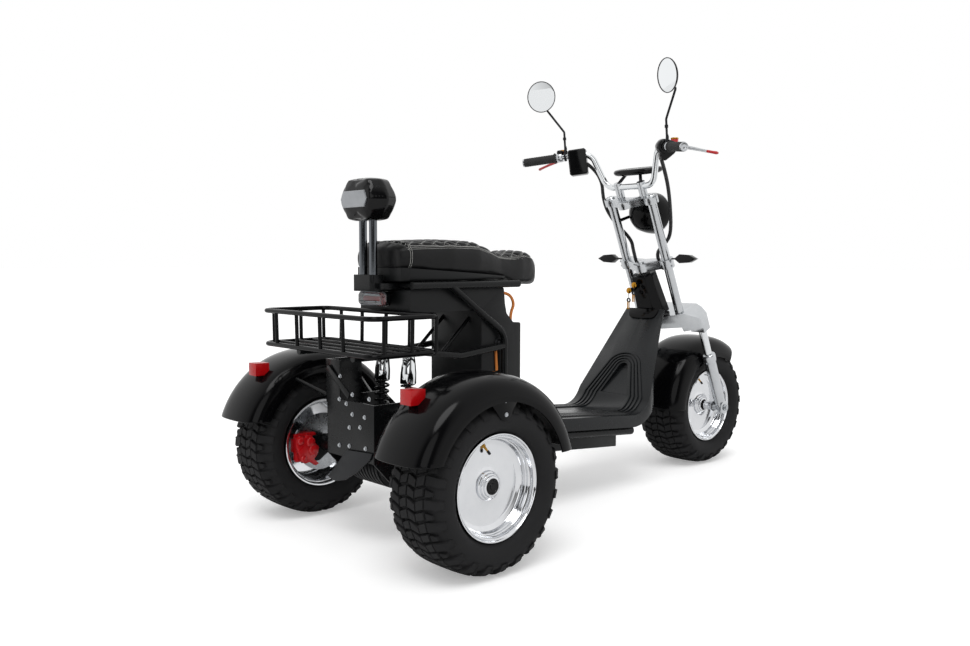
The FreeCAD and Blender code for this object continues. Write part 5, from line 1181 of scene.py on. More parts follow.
@dataclass
class Headlight:
    """Round lamp ahead of the fork: bowl, bezel and lens; sizes in millimetres."""

    ear: float = 76.5

    def build(self) -> None:
        """Builds the bowl, the bright bezel, the reflector and the lens."""
        low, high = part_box("headlight_lens")
        bowl_low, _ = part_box("headlight")
        centre = Vector((0, low.y, (low.z + high.z) / 2))
        depth = (low.y - bowl_low.y) * 1000
        bowl = Solid().turned([(-depth, 0), (-depth, 18), (-depth + 5, 38), (-depth + 18, 56),
                               (-depth + 40, 69), (-30, 75.4), (-12, 76.6), (-3, 76.6), (0, 75.5), (0, 72),
                               (-6, 70.5), (-30, 60), (-52, 30), (-54, 0)], centre, AHEAD, 64)
        bowl.node("headlight", lambda p: abs(p.x) > self.ear / 1000)
        dressed(bowl, "headlight_bowl", LACQUER, Body.STEERING, ["headlight"], sharp=60)
        bezel = Solid().turned([(-8, 76.4), (-8, 77), (-1, 77), (0.6, 75.6), (0.8, 72.8), (0, 71.4),
                                (-4, 71.2)],
                               centre, AHEAD, 64, loop=True)
        dressed(bezel, "headlight_bezel", CHROME, Body.STEERING)
        bulb = Solid().turned([(-56, 0), (-56, 20), (-48, 34), (-30, 56), (-8, 69), (-7, 69.8), (-29, 57.4),
                               (-50, 34)],
                              centre, AHEAD, 48)
        bulb.turned([(-50, 0), (-50, 14), (-30, 13), (-24, 8), (-22, 0)], centre, AHEAD, 32)
        dressed(bulb, "headlight_reflector", CHROME, Body.STEERING, sharp=60)
        lens = Solid().turned([(-3, 71), (1, 70.6), (5, 62), (8, 44), (9.6, 20), (9.9, 0)], centre, AHEAD, 64)
        dressed(lens, "headlight_glass", CLEAR, Body.STEERING, ["headlight_lens"], sharp=60)


# Frame and deck


@dataclass
class Chassis:
    """Welded tube frame, footboard and battery box; sizes in millimetres."""

    deck_rear: Flat = (400.0, 312.0)
    deck_bend: Flat = (1005.0, 262.0)
    apron_top: Flat = (1222.0, 622.0)
    thickness: float = 42.0
    tube: float = 15.0
    rail: float = 134.0
    seat_z: float = 733.0
    arm_z: float = 544.7
    arch_foot: float = 318.0
    arch_tops: Flat = (328.0, 203.0)
    arch_end: float = 360.0
    recess_floor: Flat = (4.0, 7.0)
    recess_box: Flat = (75.0, 560.0)
    recess_drop: float = 12.0
    slim_from: float = 322.0
    slim_run: float = 110.0
    slim: float = 0.2

    def line(self, depth: float) -> list[Flat]:
        """The board's side view sunk by a depth.

        Args:
            depth: how far under the board's face.

        Returns:
            Its rear end, bend and apron top as (y, z).
        """
        rear, corner, top = (np.array(p) for p in (self.deck_rear, self.deck_bend, self.apron_top))
        deck = (corner - rear) / np.linalg.norm(corner - rear)
        apron = (top - corner) / np.linalg.norm(top - corner)
        down_deck, down_apron = np.array((deck[1], -deck[0])), np.array((apron[1], -apron[0]))
        bisector = (down_deck + down_apron) / np.linalg.norm(down_deck + down_apron)
        middle = corner + bisector * depth / bisector.dot(down_deck)
        return [tuple(rear + down_deck * depth), tuple(middle), tuple(top + down_apron * depth)]

    def tubes(self) -> Solid:
        """All the frame's tubes.

        Returns:
            The tubes.
        """
        fork = Fork()
        start, bend, _ = (np.array(p) for p in self.line(self.thickness + self.tube))
        back = (start - bend) / np.linalg.norm(start - bend)
        slope = (bend[1] - start[1]) / (bend[0] - start[0])
        low = bend + back * 60.5
        pivot = (356.0, start[1] + slope * (356.0 - start[0]))
        tail, tie = np.array(pivot) + back * 30, low + back * 30
        solid = Solid()
        for side in (-1, 1):
            x = side * self.rail
            solid.rod([mm(x, *low), mm(x, *tail)], 0.015)
            solid.rod([mm(x, 0, self.seat_z), mm(x, 415, self.seat_z)], 0.011)
            solid.rod([mm(x, *pivot), mm(x, 356, 583), mm(x, 140, self.seat_z)], 0.0106, 0.06)
            solid.rod([mm(x, 356, self.arm_z), mm(x, 180, self.arm_z - 18), mm(x, 45, self.arm_z),
                       mm(x, -200, self.arm_z)], 0.010, 0.06)
            solid.rod([mm(side * 60, 165, self.arm_z - 18), mm(side * 60, 291, 641)], 0.0055)
        for y, z, radius in ((*tie, 0.0094), (*pivot, 0.0125), (11, self.seat_z, 0.0094),
                             (404, self.seat_z, 0.0094), (45, self.arm_z, 0.0094),
                             (165, self.arm_z - 18, 0.0094)):
            solid.rod([mm(-self.rail, y, z), mm(self.rail, y, z)], radius)
        start, bend, end = (np.array(p) for p in self.line(self.thickness + 18))
        neck = fork.at(0, -57.2, -224)
        foot = bend + back * 105.5
        run = [fork.at(0, 0, -160), neck, mm(0, *(bend + (end - bend) * 0.55)), mm(0, *bend), mm(0, *foot)]
        solid.rod(run, 0.018, 0.045)
        solid.turned([(-218, 16), (-218, 25), (-216, 26), (-46, 26), (-44, 25), (-44, 16)], fork.at(0, 0, 0),
                     fork.axis(), 36)
        return solid

    def build(self) -> None:
        """Builds the frame's pieces."""
        dressed(self.tubes(), "tube_frame", POWDER, Body.FRAME, ["main_frame"], sharp=60)
        board = Solid().node("footboard")
        for point in board.points:
            self.settle(point)
        dressed(board, "ribbed_board", DECK, Body.FRAME, ["footboard"], bevel=2.0, sharp=30)
        self.apron_cap()
        recast("neck_cover", "neck_hood", LACQUER, Body.FRAME, 4.0, 30)
        recast("battery_box", "battery_case", MOULDED, Body.FRAME, 4.0, 30)
        self.keys()

    def settle(self, point: Vector) -> None:
        """Moves a point of the board to the moulding's lower arches, slimmer apron and deeper recess.

        Args:
            point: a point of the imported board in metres, moved in place.
        """
        along, out = self.apron_axes()
        base = mm(0, *self.deck_bend)
        rise = (point - base).dot(along) * 1000
        if rise < 60 or point.z * 1000 < self.arch_foot:
            return
        depth = -(point - base).dot(out) * 1000
        wide, high = (size / 1000 for size in self.recess_box)
        least, most = self.recess_floor
        if least < depth < most and abs(point.x) < wide and point.z < high:
            point -= out * (self.recess_drop / 1000)
        foot, end = (self.arch_foot - self.deck_bend[1]) / along.z, self.arch_end / along.z
        built, true = (top / along.z for top in self.arch_tops)
        settled = float(np.interp(rise, (foot, built, end), (foot, true, end)))
        point += along * ((settled - rise) / 1000)
        share = min(max((point.z * 1000 - self.slim_from) / self.slim_run, 0.0), 1.0)
        point.x *= 1 - self.slim * share * share * (3 - 2 * share)

    def apron_axes(self) -> tuple[Vector, Vector]:
        """The direction up the apron and the one out of its front face."""
        along = (mm(0, *self.apron_top) - mm(0, *self.deck_bend)).normalized()
        return along, Vector((0, -along.z, along.y))

    def apron_cap(self) -> None:
        """Gloss tongue of the hood that laps over the apron's top."""
        along, out = self.apron_axes()
        top = mm(0, *self.apron_top) - along * 0.001
        outline = ((-66, 0), (66, 0), (65, -20), (60, -33), (48, -40), (0, -43), (-48, -40), (-60, -33),
                   (-65, -20))
        cap = Solid().slab([top + ACROSS * (x / 1000) + along * (r / 1000) - out * 0.002 for x, r in outline],
                           out * 0.007)
        dressed(cap, "hood_tongue", LACQUER, Body.FRAME, bevel=2.5)

    def keys(self) -> None:
        """Two gold-headed keys that hang from the lock on the hood's side."""
        gold, dark, back = Solid(), Solid(), -AHEAD
        for x, z, drop in ((-10, 711, 30), (-33, 690, 36)):
            spot = mm(x, 1168, z)
            dark.rod([spot, mm(x, 1200, z + 6)], 0.008, sides=18)
            gold.turned([(-2, 8), (0, 11), (3, 11.6), (6, 10), (7.5, 7), (8, 0)], spot, back, 28)
            dark.turned([(2, 9), (5, 9), (5, 4), (2, 4)], spot + Vector((0, 0, -drop / 1000)), back, 24,
                        loop=True)
            dark.rod([spot - Vector((0, 0.004, 0)), spot + Vector((0, -0.003, -drop / 1000 + 0.008))], 0.0012,
                     sides=8)
            for lean in (-0.004, 0.003):
                start = spot + Vector((lean, -0.004, -drop / 1000 - 0.006))
                blade = ((-2, 0), (2, 0), (2, -26), (-2, -28))
                gold.slab([start + Vector((u, 0, v)) / 1000 for u, v in blade], Vector((0, -0.0016, 0)))
        dressed(gold, "hood_keys", GOLD_METAL, Body.FRAME, sharp=50)
        dressed(dark, "hood_key_rings", OXIDE, Body.FRAME, sharp=50)


@dataclass
class RearEnd:
    """Carrier, drive, shock absorbers and brakes; sizes in millimetres."""

    axle: float = 230.0
    stub_end: float = 452.0
    coil_turns: int = 8
    plate_bolts: tuple[Flat, ...] = (
        (-46, 474), (14, 428), (94, 424), (-16, 399), (-51, 408), (13, 372), (72, 371), (-2, 333), (50, 340),
        (-3, 280), (75, 284), (-53, 275))

    def build(self) -> None:
        """Builds the rear end."""
        recast("rear_carrier", "carrier_weldment", POWDER, Body.FRAME, 1.0)
        for x, z in self.plate_bolts:
            BOLTS.put(Body.FRAME, mm(x, -118, z), (0, -1, 0), 0.9)
        case = [(-92, 30), (-92, 60), (-86, 72), (-80, 77)]
        for k in range(9):
            start = -74 + k * 16.5
            case += [(start, 77.6), (start + 9, 77.6), (start + 10, 74), (start + 15.5, 74)]
        case += [(80, 77), (86, 72), (92, 60), (92, 30)]
        drive = Solid().turned(case, mm(0, 0, self.axle), ACROSS, 64)
        dressed(drive, "drive_case", MOULDED, Body.FRAME, ["drive_unit"])
        self.shocks()
        recast("rear_calipers", "red_calipers", RED_METAL, Body.FRAME, 2.0)
        recast("front_caliper", "red_caliper_front", RED_METAL, Body.STEERING, 2.0)
        stubs = Solid().node("rear_stub_axles")
        for point in stubs.points:
            point.x = min(max(point.x, -self.stub_end / 1000), self.stub_end / 1000)
        dressed(stubs, "stub_axles", STEEL, Body.FRAME, ["rear_stub_axles"])
        self.guard()
        self.bosses()

    def bosses(self) -> None:
        """Outer housings of the rear calipers, with their screws."""
        outline = ((-110, 256), (-98, 262), (-80, 255), (-74, 263), (-56, 259), (-47, 237), (-30, 219),
                   (-37, 197), (-49, 184), (-31, 168), (-44, 163), (-64, 177), (-81, 174), (-95, 181),
                   (-99, 196), (-111, 230))
        red = Solid()
        for side in (-1, 1):
            red.slab([mm(side * 297, y, z) for y, z in outline], ACROSS * (side * 0.014))
            for y, z, radius in ((-98, 246, 11), (-62, 240, 15), (-52, 214, 17), (-88, 190, 11)):
                red.turned([(0, radius), (4, radius), (6, radius - 3), (6.4, 0)], mm(side * 297, y, z),
                           ACROSS * -side, 24)
        dressed(red, "caliper_housings", RED_METAL, Body.FRAME, bevel=1.5)

    def guard(self) -> None:
        """Flat strut over the rear plate and the scooped guard under it."""
        strut = Solid().slab([mm(x, -119, z) for x, z in ((-112, 488), (-100, 503), (8, 430), (-2, 414))],
                             Vector((0, -0.005, 0)))
        dressed(strut, "plate_strut", POWDER, Body.FRAME, bevel=0.8)
        outline = ((-112, 176), (-98, 184), (-11, 268), (112, 276), (100, 256), (40, 214), (-20, 180),
                   (-70, 168))
        scoop = Solid().slab([mm(x, -119, z) for x, z in outline], Vector((0, -0.004, 0)))
        dressed(scoop, "plate_guard", OXIDE, Body.FRAME, bevel=0.8)

    def shocks(self) -> None:
        """Coil-over shock absorbers with bright covers."""
        cover, coils, shafts = Solid(), Solid(), Solid()
        for side in (-1, 1):
            foot, head = mm(side * 62, 34, 286), mm(side * 62, 45, 541)
            axis = (head - foot).normalized()
            length = (head - foot).length * 1000
            shafts.turned([(2, 9), (length - 4, 9)], foot, axis, 20)
            shafts.turned([(0, 12), (6, 20), (10, 22), (20, 22), (22, 16)], foot, axis, 28)
            cover.turned([(length - 92, 22), (length - 90, 23.6), (length - 60, 23), (length - 20, 18.5),
                          (length - 8, 15), (length - 4, 11)], foot, axis, 36)
            points, first = [], axis.orthogonal().normalized()
            for k in range(self.coil_turns * 16 + 1):
                turn = 2 * math.pi * k / 16
                rise = 22 + (length - 112) * k / (self.coil_turns * 16)
                spoke = first * math.cos(turn) + axis.cross(first) * math.sin(turn)
                points.append(foot + axis * (rise / 1000) + spoke * 0.019)
            coils.rod(points, 0.0036, sides=8)
        dressed(shafts, "shock_bodies", OXIDE, Body.FRAME, ["rear_shocks"])
        dressed(cover, "shock_covers", CHROME, Body.FRAME, sharp=60)
        dressed(coils, "shock_coils", LACQUER, Body.FRAME, sharp=70)


@dataclass
class Basket:
    """Round-rod luggage basket; sizes in millimetres."""

    half: float = 272.0
    rear: float = -236.0
    front: float = -14.0
    top: float = 656.9
    floor: float = 560.9
    rod: float = 6.8
    bar: float = 5.4

    def ring(self, z: float, inset: float) -> list[Vector]:
        """The closed rail at a height, with its corners rounded.

        Args:
            z: its height.
            inset: how far it lies inside the outline.

        Returns:
            The points round the rail.
        """
        x, y0, y1 = self.half - inset, self.rear + inset, self.front - inset
        corners = [mm(0, y1, z), mm(x, y1, z), mm(x, y0, z), mm(-x, y0, z), mm(-x, y1, z), mm(0, y1, z)]
        return rounded(corners, 0.034, 9)

    def build(self) -> None:
        """Builds the rails, uprights and floor rods."""
        solid = Solid()
        for z, inset in ((self.top, 0.0), (self.floor, 2.0)):
            solid.rod(self.ring(z, inset), self.rod / 1000, sides=18)
        bar = self.bar / 1000

        def upright(x: float, y: float, dx: float, dy: float) -> None:
            """Adds an upright rod of the basket's side."""
            solid.rod([mm(x, y, self.top), mm(x - dx, y - dy, self.floor)], bar, sides=14)

        for share in (-0.71, -0.31, 0.12, 0.52):
            upright(share * self.half, self.rear, 0, -2)
            upright(share * self.half, self.front, 0, 2)
        for share in (0.17, 0.58, 0.94):
            y = self.rear + share * (self.front - self.rear)
            upright(self.half, y, 2, 0)
            upright(-self.half, y, -2, 0)
        for share in (0.25, 0.5, 0.75):
            y = self.rear + share * (self.front - self.rear)
            solid.rod([mm(2 - self.half, y, self.floor), mm(self.half - 2, y, self.floor)], bar, sides=14)
        dressed(solid, "rod_basket", LACQUER, Body.FRAME, ["luggage_basket"], sharp=60)


# Seat


def puffed(piece: bpy.types.Object, voxel: float, cap: float, pressure: float = 4.0) -> None:
    """Fills a closed mesh like a stuffed cover by a short cloth simulation.

    Args:
        piece: the object; its mesh is replaced.
        voxel: remesh size in millimetres.
        cap: the furthest that a point may move, in millimetres.
        pressure: the cloth's inner pressure.
    """
    remesh = piece.modifiers.new("Remesh", "REMESH")
    remesh.mode, remesh.voxel_size = "VOXEL", voxel / 1000
    frozen(piece)
    rest = [vertex.co.copy() for vertex in piece.data.vertices]
    cloth = piece.modifiers.new("Cloth", "CLOTH")
    cloth.settings.use_pressure = True
    cloth.settings.uniform_pressure_force = pressure
    cloth.settings.quality = 4
    cloth.settings.effector_weights.gravity = 0
    scene = bpy.context.scene
    for number in range(1, 21):
        scene.frame_set(number)
    frozen(piece)
    scene.frame_set(1)
    held = []
    for vertex, start in zip(piece.data.vertices, rest):
        move = vertex.co - start
        held.extend(start + move * min(1.0, cap / 1000 / max(move.length, 1e-9)))
    piece.data.vertices.foreach_set("co", held)
    piece.data.update()


@dataclass
class Seat:
    """Quilted saddle, seat box, backrest and the tail light; sizes in millimetres."""

    rear: float = -28.0
    front: float = 590.0
    half: float = 142.0
    base: float = 744.3
    height: float = 120.0
    shares: tuple[Point, ...] = (
        (0.00, 0.80, 0.74), (0.05, 0.95, 0.94), (0.30, 1.00, 1.00), (0.47, 0.98, 0.97), (0.57, 0.84, 0.88),
        (0.65, 0.70, 0.79), (0.73, 0.69, 0.74), (0.82, 0.76, 0.70), (0.91, 0.73, 0.60), (0.97, 0.58, 0.44),
        (1.00, 0.32, 0.28))
    quilt: float = 34.0
    slant: float = 0.78
    panel: float = 0.8
    panel_ends: Flat = (0.05, 0.94)
    panel_run: float = 620.0
    channel_depth: float = 3.4
    channel_width: float = 3.4
    stitch: float = 6.2
    side_seam: float = 7.0
    lamp_z: float = 695.0
    lead_run: tuple[Flat, Flat] = ((331.0, 536.0), (335.0, 470.0))

    def outline(self, along: float) -> tuple[float, float]:
        """The saddle's height and half width at a share of its length.

        Args:
            along: the share, from the rear.

        Returns:
            The height and the half width.
        """
        stops = [row[0] for row in self.shares]
        return (float(np.interp(along, stops, [row[1] for row in self.shares])) * self.height,
                float(np.interp(along, stops, [row[2] for row in self.shares])) * self.half)

    def section(self, along: float, shrink: float = 0.0) -> list[Vector]:
        """A ring of the saddle's skin.

        Args:
            along: the share, from the rear.
            shrink: how far inside the finished skin.

        Returns:
            The ring's points.
        """
        height, half = self.outline(along)
        foot = self.foot(along)
        height -= foot
        y = self.rear + along * (self.front - self.rear)
        y = min(max(y, self.rear + shrink), self.front - shrink)
        right = [(0.0, 0.0), (0.55, 0.0), (0.86, 0.0), (0.95, 0.1), (0.985, 0.28), (1.0, 0.46), (0.985, 0.62),
                 (0.955, 0.74), (0.9, 0.84), (0.8, 0.915), (0.62, 0.965), (0.34, 0.99), (0.0, 1.0)]
        ring = []
        for x, z in right + [(-x, z) for x, z in reversed(right[1:-1])]:
            wide = max(half - shrink, 1.0) * x
            tall = shrink * 0.4 + max(height - shrink * 1.4, 1.0) * z
            ring.append(mm(wide, y, self.base + foot + tall))
        return ring

    def foot(self, along: float) -> float:
        """Height of the cover's lower edge over the saddle's base: it falls from the rear to the nose."""
        return float(np.interp(along, (0.0, 0.68, 0.78, 1.0), (34.0, 6.0, -10.0, -16.0)))

    def pan(self) -> None:
        """Moulded pan between the cover and the rails."""
        rings = []
        for along in (0.02, 0.05, 0.3, 0.47, 0.57, 0.65, 0.68):
            _, half = self.outline(along)
            y, top, wide = self.rear + along * (self.front - self.rear), self.foot(along) + 6, half - 13
            rings.append([mm(-wide + 4, y, self.base + 0.4), mm(wide - 4, y, self.base + 0.4),
                          mm(wide, y, self.base + 6), mm(wide, y, self.base + top),
                          mm(-wide, y, self.base + top), mm(-wide, y, self.base + 6)])
        dressed(Solid().rings(rings), "saddle_pan", MOULDED, Body.FRAME, bevel=1.5)

    def build(self) -> None:
        """Builds the saddle with its stitching, then what holds it and what stands behind it."""
        stops = sorted({round(k / 40, 4) for k in range(41)} | {0.012, 0.988, 0.994})
        skin = Solid().rings([self.section(stop, 4.0) for stop in stops])
        saddle = dressed(skin, "saddle_cover", VINYL, Body.FRAME, ["saddle"], sharp=80)
        saddle.parent = None
        puffed(saddle, 6.0, 6.0)
        refined(saddle)
        self.press(saddle)
        saddle.data.shade_smooth()
        finished(saddle, VINYL, Body.FRAME)
        self.stitches(saddle)
        self.pan()
        self.backrest()
        recast("seat_box", "seat_case", MOULDED, Body.FRAME, 2.5, 30)
        self.tail_light()
        self.lead()

    def cell(self, point: Vector) -> tuple[float, float]:
        """Distances from the two families of quilting lines, in millimetres.

        Args:
            point: a point of the cover, in metres.

        Returns:
            The two distances.
        """
        x, y = point.x * 1000, (point.y * 1000 + SETBACK - self.rear) * self.slant
        u, v = (x + y) / self.quilt, (x - y) / self.quilt
        return abs(u - round(u)) * self.quilt * 0.7071, abs(v - round(v)) * self.quilt * 0.7071

    def on_top(self, point: Vector) -> float:
        """How far inside the quilted panel a point lies.

        Args:
            point: a point of the cover, in metres.

        Returns:
            Millimetres inside the panel, below zero outside it.
        """
        along = (point.y * 1000 + SETBACK - self.rear) / (self.front - self.rear)
        _, half = self.outline(min(max(along, 0), 1))
        start, end = self.panel_ends
        return min(half * self.panel - abs(point.x * 1000), (along - start) * self.panel_run,
                   (end - along) * self.panel_run)

    def press(self, saddle: bpy.types.Object) -> None:
        """Presses the quilting channels into the cover.

        Args:
            saddle: the cover; its points are moved.
        """
        low = (self.base - 18) / 1000
        top = (self.base + self.height + 2) / 1000
        mesh = saddle.data
        normals = [vertex.normal.copy() for vertex in mesh.vertices]
        moved = []
        for vertex, normal in zip(mesh.vertices, normals):
            place = vertex.co.copy()
            inside = self.on_top(place)
            if normal.z > 0.45 and inside > -4:
                near = min(*self.cell(place), abs(inside)) if inside > 0 else abs(inside)
                place -= normal * (self.channel_depth / 1000) * math.exp(-(near / self.channel_width) ** 2)
            place.z = min(max(place.z, low), top)
            moved.extend(place)
        mesh.vertices.foreach_set("co", moved)
        mesh.update()

    def stitches(self, saddle: bpy.types.Object) -> None:
        """Lays thread stitches along the quilting lines and the seams.

        Args:
            saddle: the finished cover that the stitches lie on.
        """
        bvh = BVHTree.FromPolygons([v.co for v in saddle.data.vertices],
                                   [p.vertices for p in saddle.data.polygons])
        places, seams = [], []
        run = self.front - self.rear

        def drop(x: float, y: float, ahead: Vector) -> None:
            """Lays a stitch on the cover's top.

            Args:
                x: where it lies across.
                y: where it lies along.
                ahead: the stitch's direction.
            """
            hit, normal, _, _ = bvh.ray_cast(mm(x, y, self.base + 200), -UP)
            if hit is not None and normal.z > 0.4:
                places.append((hit + normal * 0.0003, normal, ahead, 1.0))

        def sew(side: int, half: float, y: float, rise: float, ahead: Vector) -> None:
            """Lays a stitch on the cover's side.

            Args:
                side: 1 for the right side, -1 for the left.
                half: the cover's half width there.
                y: where it lies along.
                rise: its height over the saddle's base.
                ahead: the stitch's direction.
            """
            hit, normal, _, _ = bvh.ray_cast(mm(side * (half + 60), y, self.base + rise), ACROSS * -side)
            if hit is not None:
                seams.append((hit + normal * 0.0002, normal, ahead, 1.0))

        for sign in (1, -1):
            for number in range(-30, 31):
                for k in range(-120, 121):
                    along, line = k * self.stitch, number * self.quilt
                    x, y = (line + along) / 2, sign * (line - along) / 2 / self.slant + self.rear
                    if self.on_top(mm(x, y, self.base)) > 3:
                        drop(x, y, Vector((1, -sign / self.slant, 0)).normalized())
        for gap in (-2.0, 2.0):
            for side in (-1, 1):
                for k in range(0, 88):
                    along = 0.06 + 0.87 * k / 88
                    _, half = self.outline(along)
                    _, after = self.outline(along + 0.01)
                    drop(side * (half * self.panel + 3 + gap), self.rear + along * run,
                         Vector((side * (after - half) * self.panel, self.stitch, 0)).normalized())
        for share in (0.79, 0.83):
            for side in (-1, 1):
                for k in range(100):
                    along = 0.05 + 0.88 * k / 100
                    height, half = self.outline(along)
                    after, _ = self.outline(along + 0.01)
                    sew(side, half, self.rear + along * run, height * share,
                        Vector((0, 6.4, (after - height) * share)).normalized())
        for gap in (-2.2, 2.2):
            for side in (-1, 1):
                for k in range(18):
                    sew(side, self.half, self.side_seam + gap, self.foot(0.2) + 6 + k * 4.6, UP)
        stitch = Solid().rod([Vector((x, 0, z)) / 10000 for x, z in ((-21, -3), (-12, 3), (12, 3), (21, -3))],
                             [0.0003, 0.0005, 0.0005, 0.0003], sides=6)
        Repeat("stitch_rows", stitch, THREAD).lay(places, "saddle_stitches", Body.FRAME, "seat_vinyl")
        Repeat("seam_rows", stitch, THREAD).lay(seams, "saddle_seams", Body.FRAME, "seat_vinyl")

    def backrest(self) -> None:
        """Padded head on two chrome posts, its bare hexagon plate and the foot bracket."""
        posts = Solid()
        for side in (-1, 1):
            posts.turned([(0, 11.5), (150, 11.5), (168, 11.5)], mm(side * 24, -52, 757), UP, 32)
        # The posts' chrome carries a painted dark reflection in its colour.
        dressed(posts, "backrest_tubes", SHADED_CHROME, Body.FRAME, ["backrest_posts"])
        foot = Solid().node("backrest_bracket")
        for point in foot.points:
            point.z -= 0.014 * min(max((point.z - 0.73) / 0.04, 0.0), 1.0)
        dressed(foot, "backrest_foot", POWDER, Body.FRAME, ["backrest_bracket"], bevel=2.0,
                sharp=34)
        plan = rounded([Vector((x, y, 0)) / 1000 for x, y in (
            (0, -46.5), (72, -46.5), (97, 0), (78, 46), (-78, 46), (-97, 0), (-72, -46.5), (0, -46.5))],
            0.011, 9)
        lower = [(0.0, 0.60), (0.012, 0.66), (0.05, 0.715), (0.12, 0.78), (0.24, 0.88), (0.36, 0.955),
                 (0.44, 0.99)]
        levels = lower + [(0.5, 1.0)] + [(1 - rise, share) for rise, share in reversed(lower)]
        rows = [[mm(point.x * 980 * share, -52 + point.y * 1000 * (0.36 + 0.62 * share), 917 + rise * 113)
                 for point in plan[:-1]] for rise, share in levels]
        pad = dressed(Solid().rings(rows), "backrest_cover", SHELL, Body.FRAME,
                      ["backrest_pad"], sharp=70)
        pad.parent = None
        puffed(pad, 4.0, 3.0)
        refined(pad)
        pad.data.shade_smooth()
        finished(pad, SHELL, Body.FRAME)
        shape = [(-1.0, 0.0), (-0.8, -1.0), (0.8, -1.0), (1.0, 0.0), (0.8, 1.0), (-0.8, 1.0)]
        plate = Solid().rings([[mm(x * 62 * s, y, 973.5 + z * 23 * s) for x, z in shape]
                               for y, s in ((-92, 1.0), (-101.6, 1.0), (-103, 0.95), (-102.8, 0.9),
                                            (-102.8, 0.5))])
        dressed(plate, "backrest_plate", PLATE, Body.FRAME, ["backrest_panel"], sharp=25)

    def lamp_ring(self, y: float, half_x: float, half_z: float, corner: float) -> list[Vector]:
        """A ring of the tail light: an upright rectangle with round corners.

        Args:
            y: where it stands.
            half_x: half its width.
            half_z: half its height.
            corner: its corners' radius.

        Returns:
            The ring's points.
        """
        ring = []
        for cx, cz, start in ((1, 1, 0), (-1, 1, 90), (-1, -1, 180), (1, -1, 270)):
            for k in range(7):
                turn = math.radians(start + 15 * k)
                ring.append(mm(cx * (half_x - corner) + corner * math.cos(turn), y,
                               self.lamp_z + cz * (half_z - corner) + corner * math.sin(turn)))
        return ring

    def tail_light(self) -> None:
        """Rounded tail light: smoked lens over a bright bowl with a red strip."""
        def shell(*rows: tuple[float, float, float, float]) -> Solid:
            """A solid skinned over rings, each (y, half width, half height, corner)."""
            return Solid().rings([self.lamp_ring(*row) for row in rows])

        case = shell((-17, 60, 19, 12), (-19, 62, 21, 14), (-34, 62, 21, 14), (-34, 57, 17, 11),
                     (-24, 55, 15, 10))
        case.node("tail_light", lambda p: p.y > (-16.5 - SETBACK) / 1000)
        dressed(case, "tail_light_case", SHELL, Body.FRAME, ["tail_light"], sharp=50)
        bowl = shell((-24.2, 54.5, 15, 10), (-26, 50, 11, 8), (-30, 46, 4, 3))
        dressed(bowl, "tail_light_bowl", CHROME, Body.FRAME, sharp=50)
        strip = shell((-27, 40, 6.5, 4), (-33, 40, 6.5, 4), (-35, 38, 5, 3))
        dressed(strip, "tail_light_strip", RED_LENS, Body.FRAME, sharp=50)
        lens = shell((-34, 61.5, 20.5, 13.5), (-42, 61, 20, 13.5), (-46.5, 58, 17.5, 12), (-48.6, 50, 11, 8))
        dressed(lens, "tail_light_lens", SMOKE, Body.FRAME, sharp=60)

    def lead(self) -> None:
        """Orange charging lead that loops at the column's top."""
        shares = ((0.62, 0.0), (1.0, -0.38), (0.74, -0.7), (0.74, -1.0))
        control = [mm(95, 371, 704.3)]
        control += [mm(95, 368 + along * 68, 612.3 + (1 + up) * 92) for along, up in shares]
        line = dense(spline(control, 14), 0.003)
        lead = Solid().rod(line, 0.0046, sides=14)
        lead.rod([mm(121.8, *end) for end in self.lead_run], 0.0042, sides=14)
        lock = Solid().turned([(0, 15), (3, 15), (5, 13), (5, 9), (9, 8.6), (11, 7), (11.4, 0)],
                              mm(117.5, 343.7, 553), ACROSS, 32)
        dressed(lock, "column_lock", OXIDE, Body.FRAME, sharp=50)
        dressed(lead, "orange_lead", ORANGE, Body.FRAME, ["charging_lead"])


@dataclass
class Reflectors:
    """Red reflectors on the rear shoulders of the guards; sizes in millimetres."""

    bevel: float = 2.0

    def build(self) -> None:
        """Builds the red prisms."""
        recast("fender_reflectors", "reflector_blocks", RED_LENS, Body.FRAME, self.bevel)


# Stage


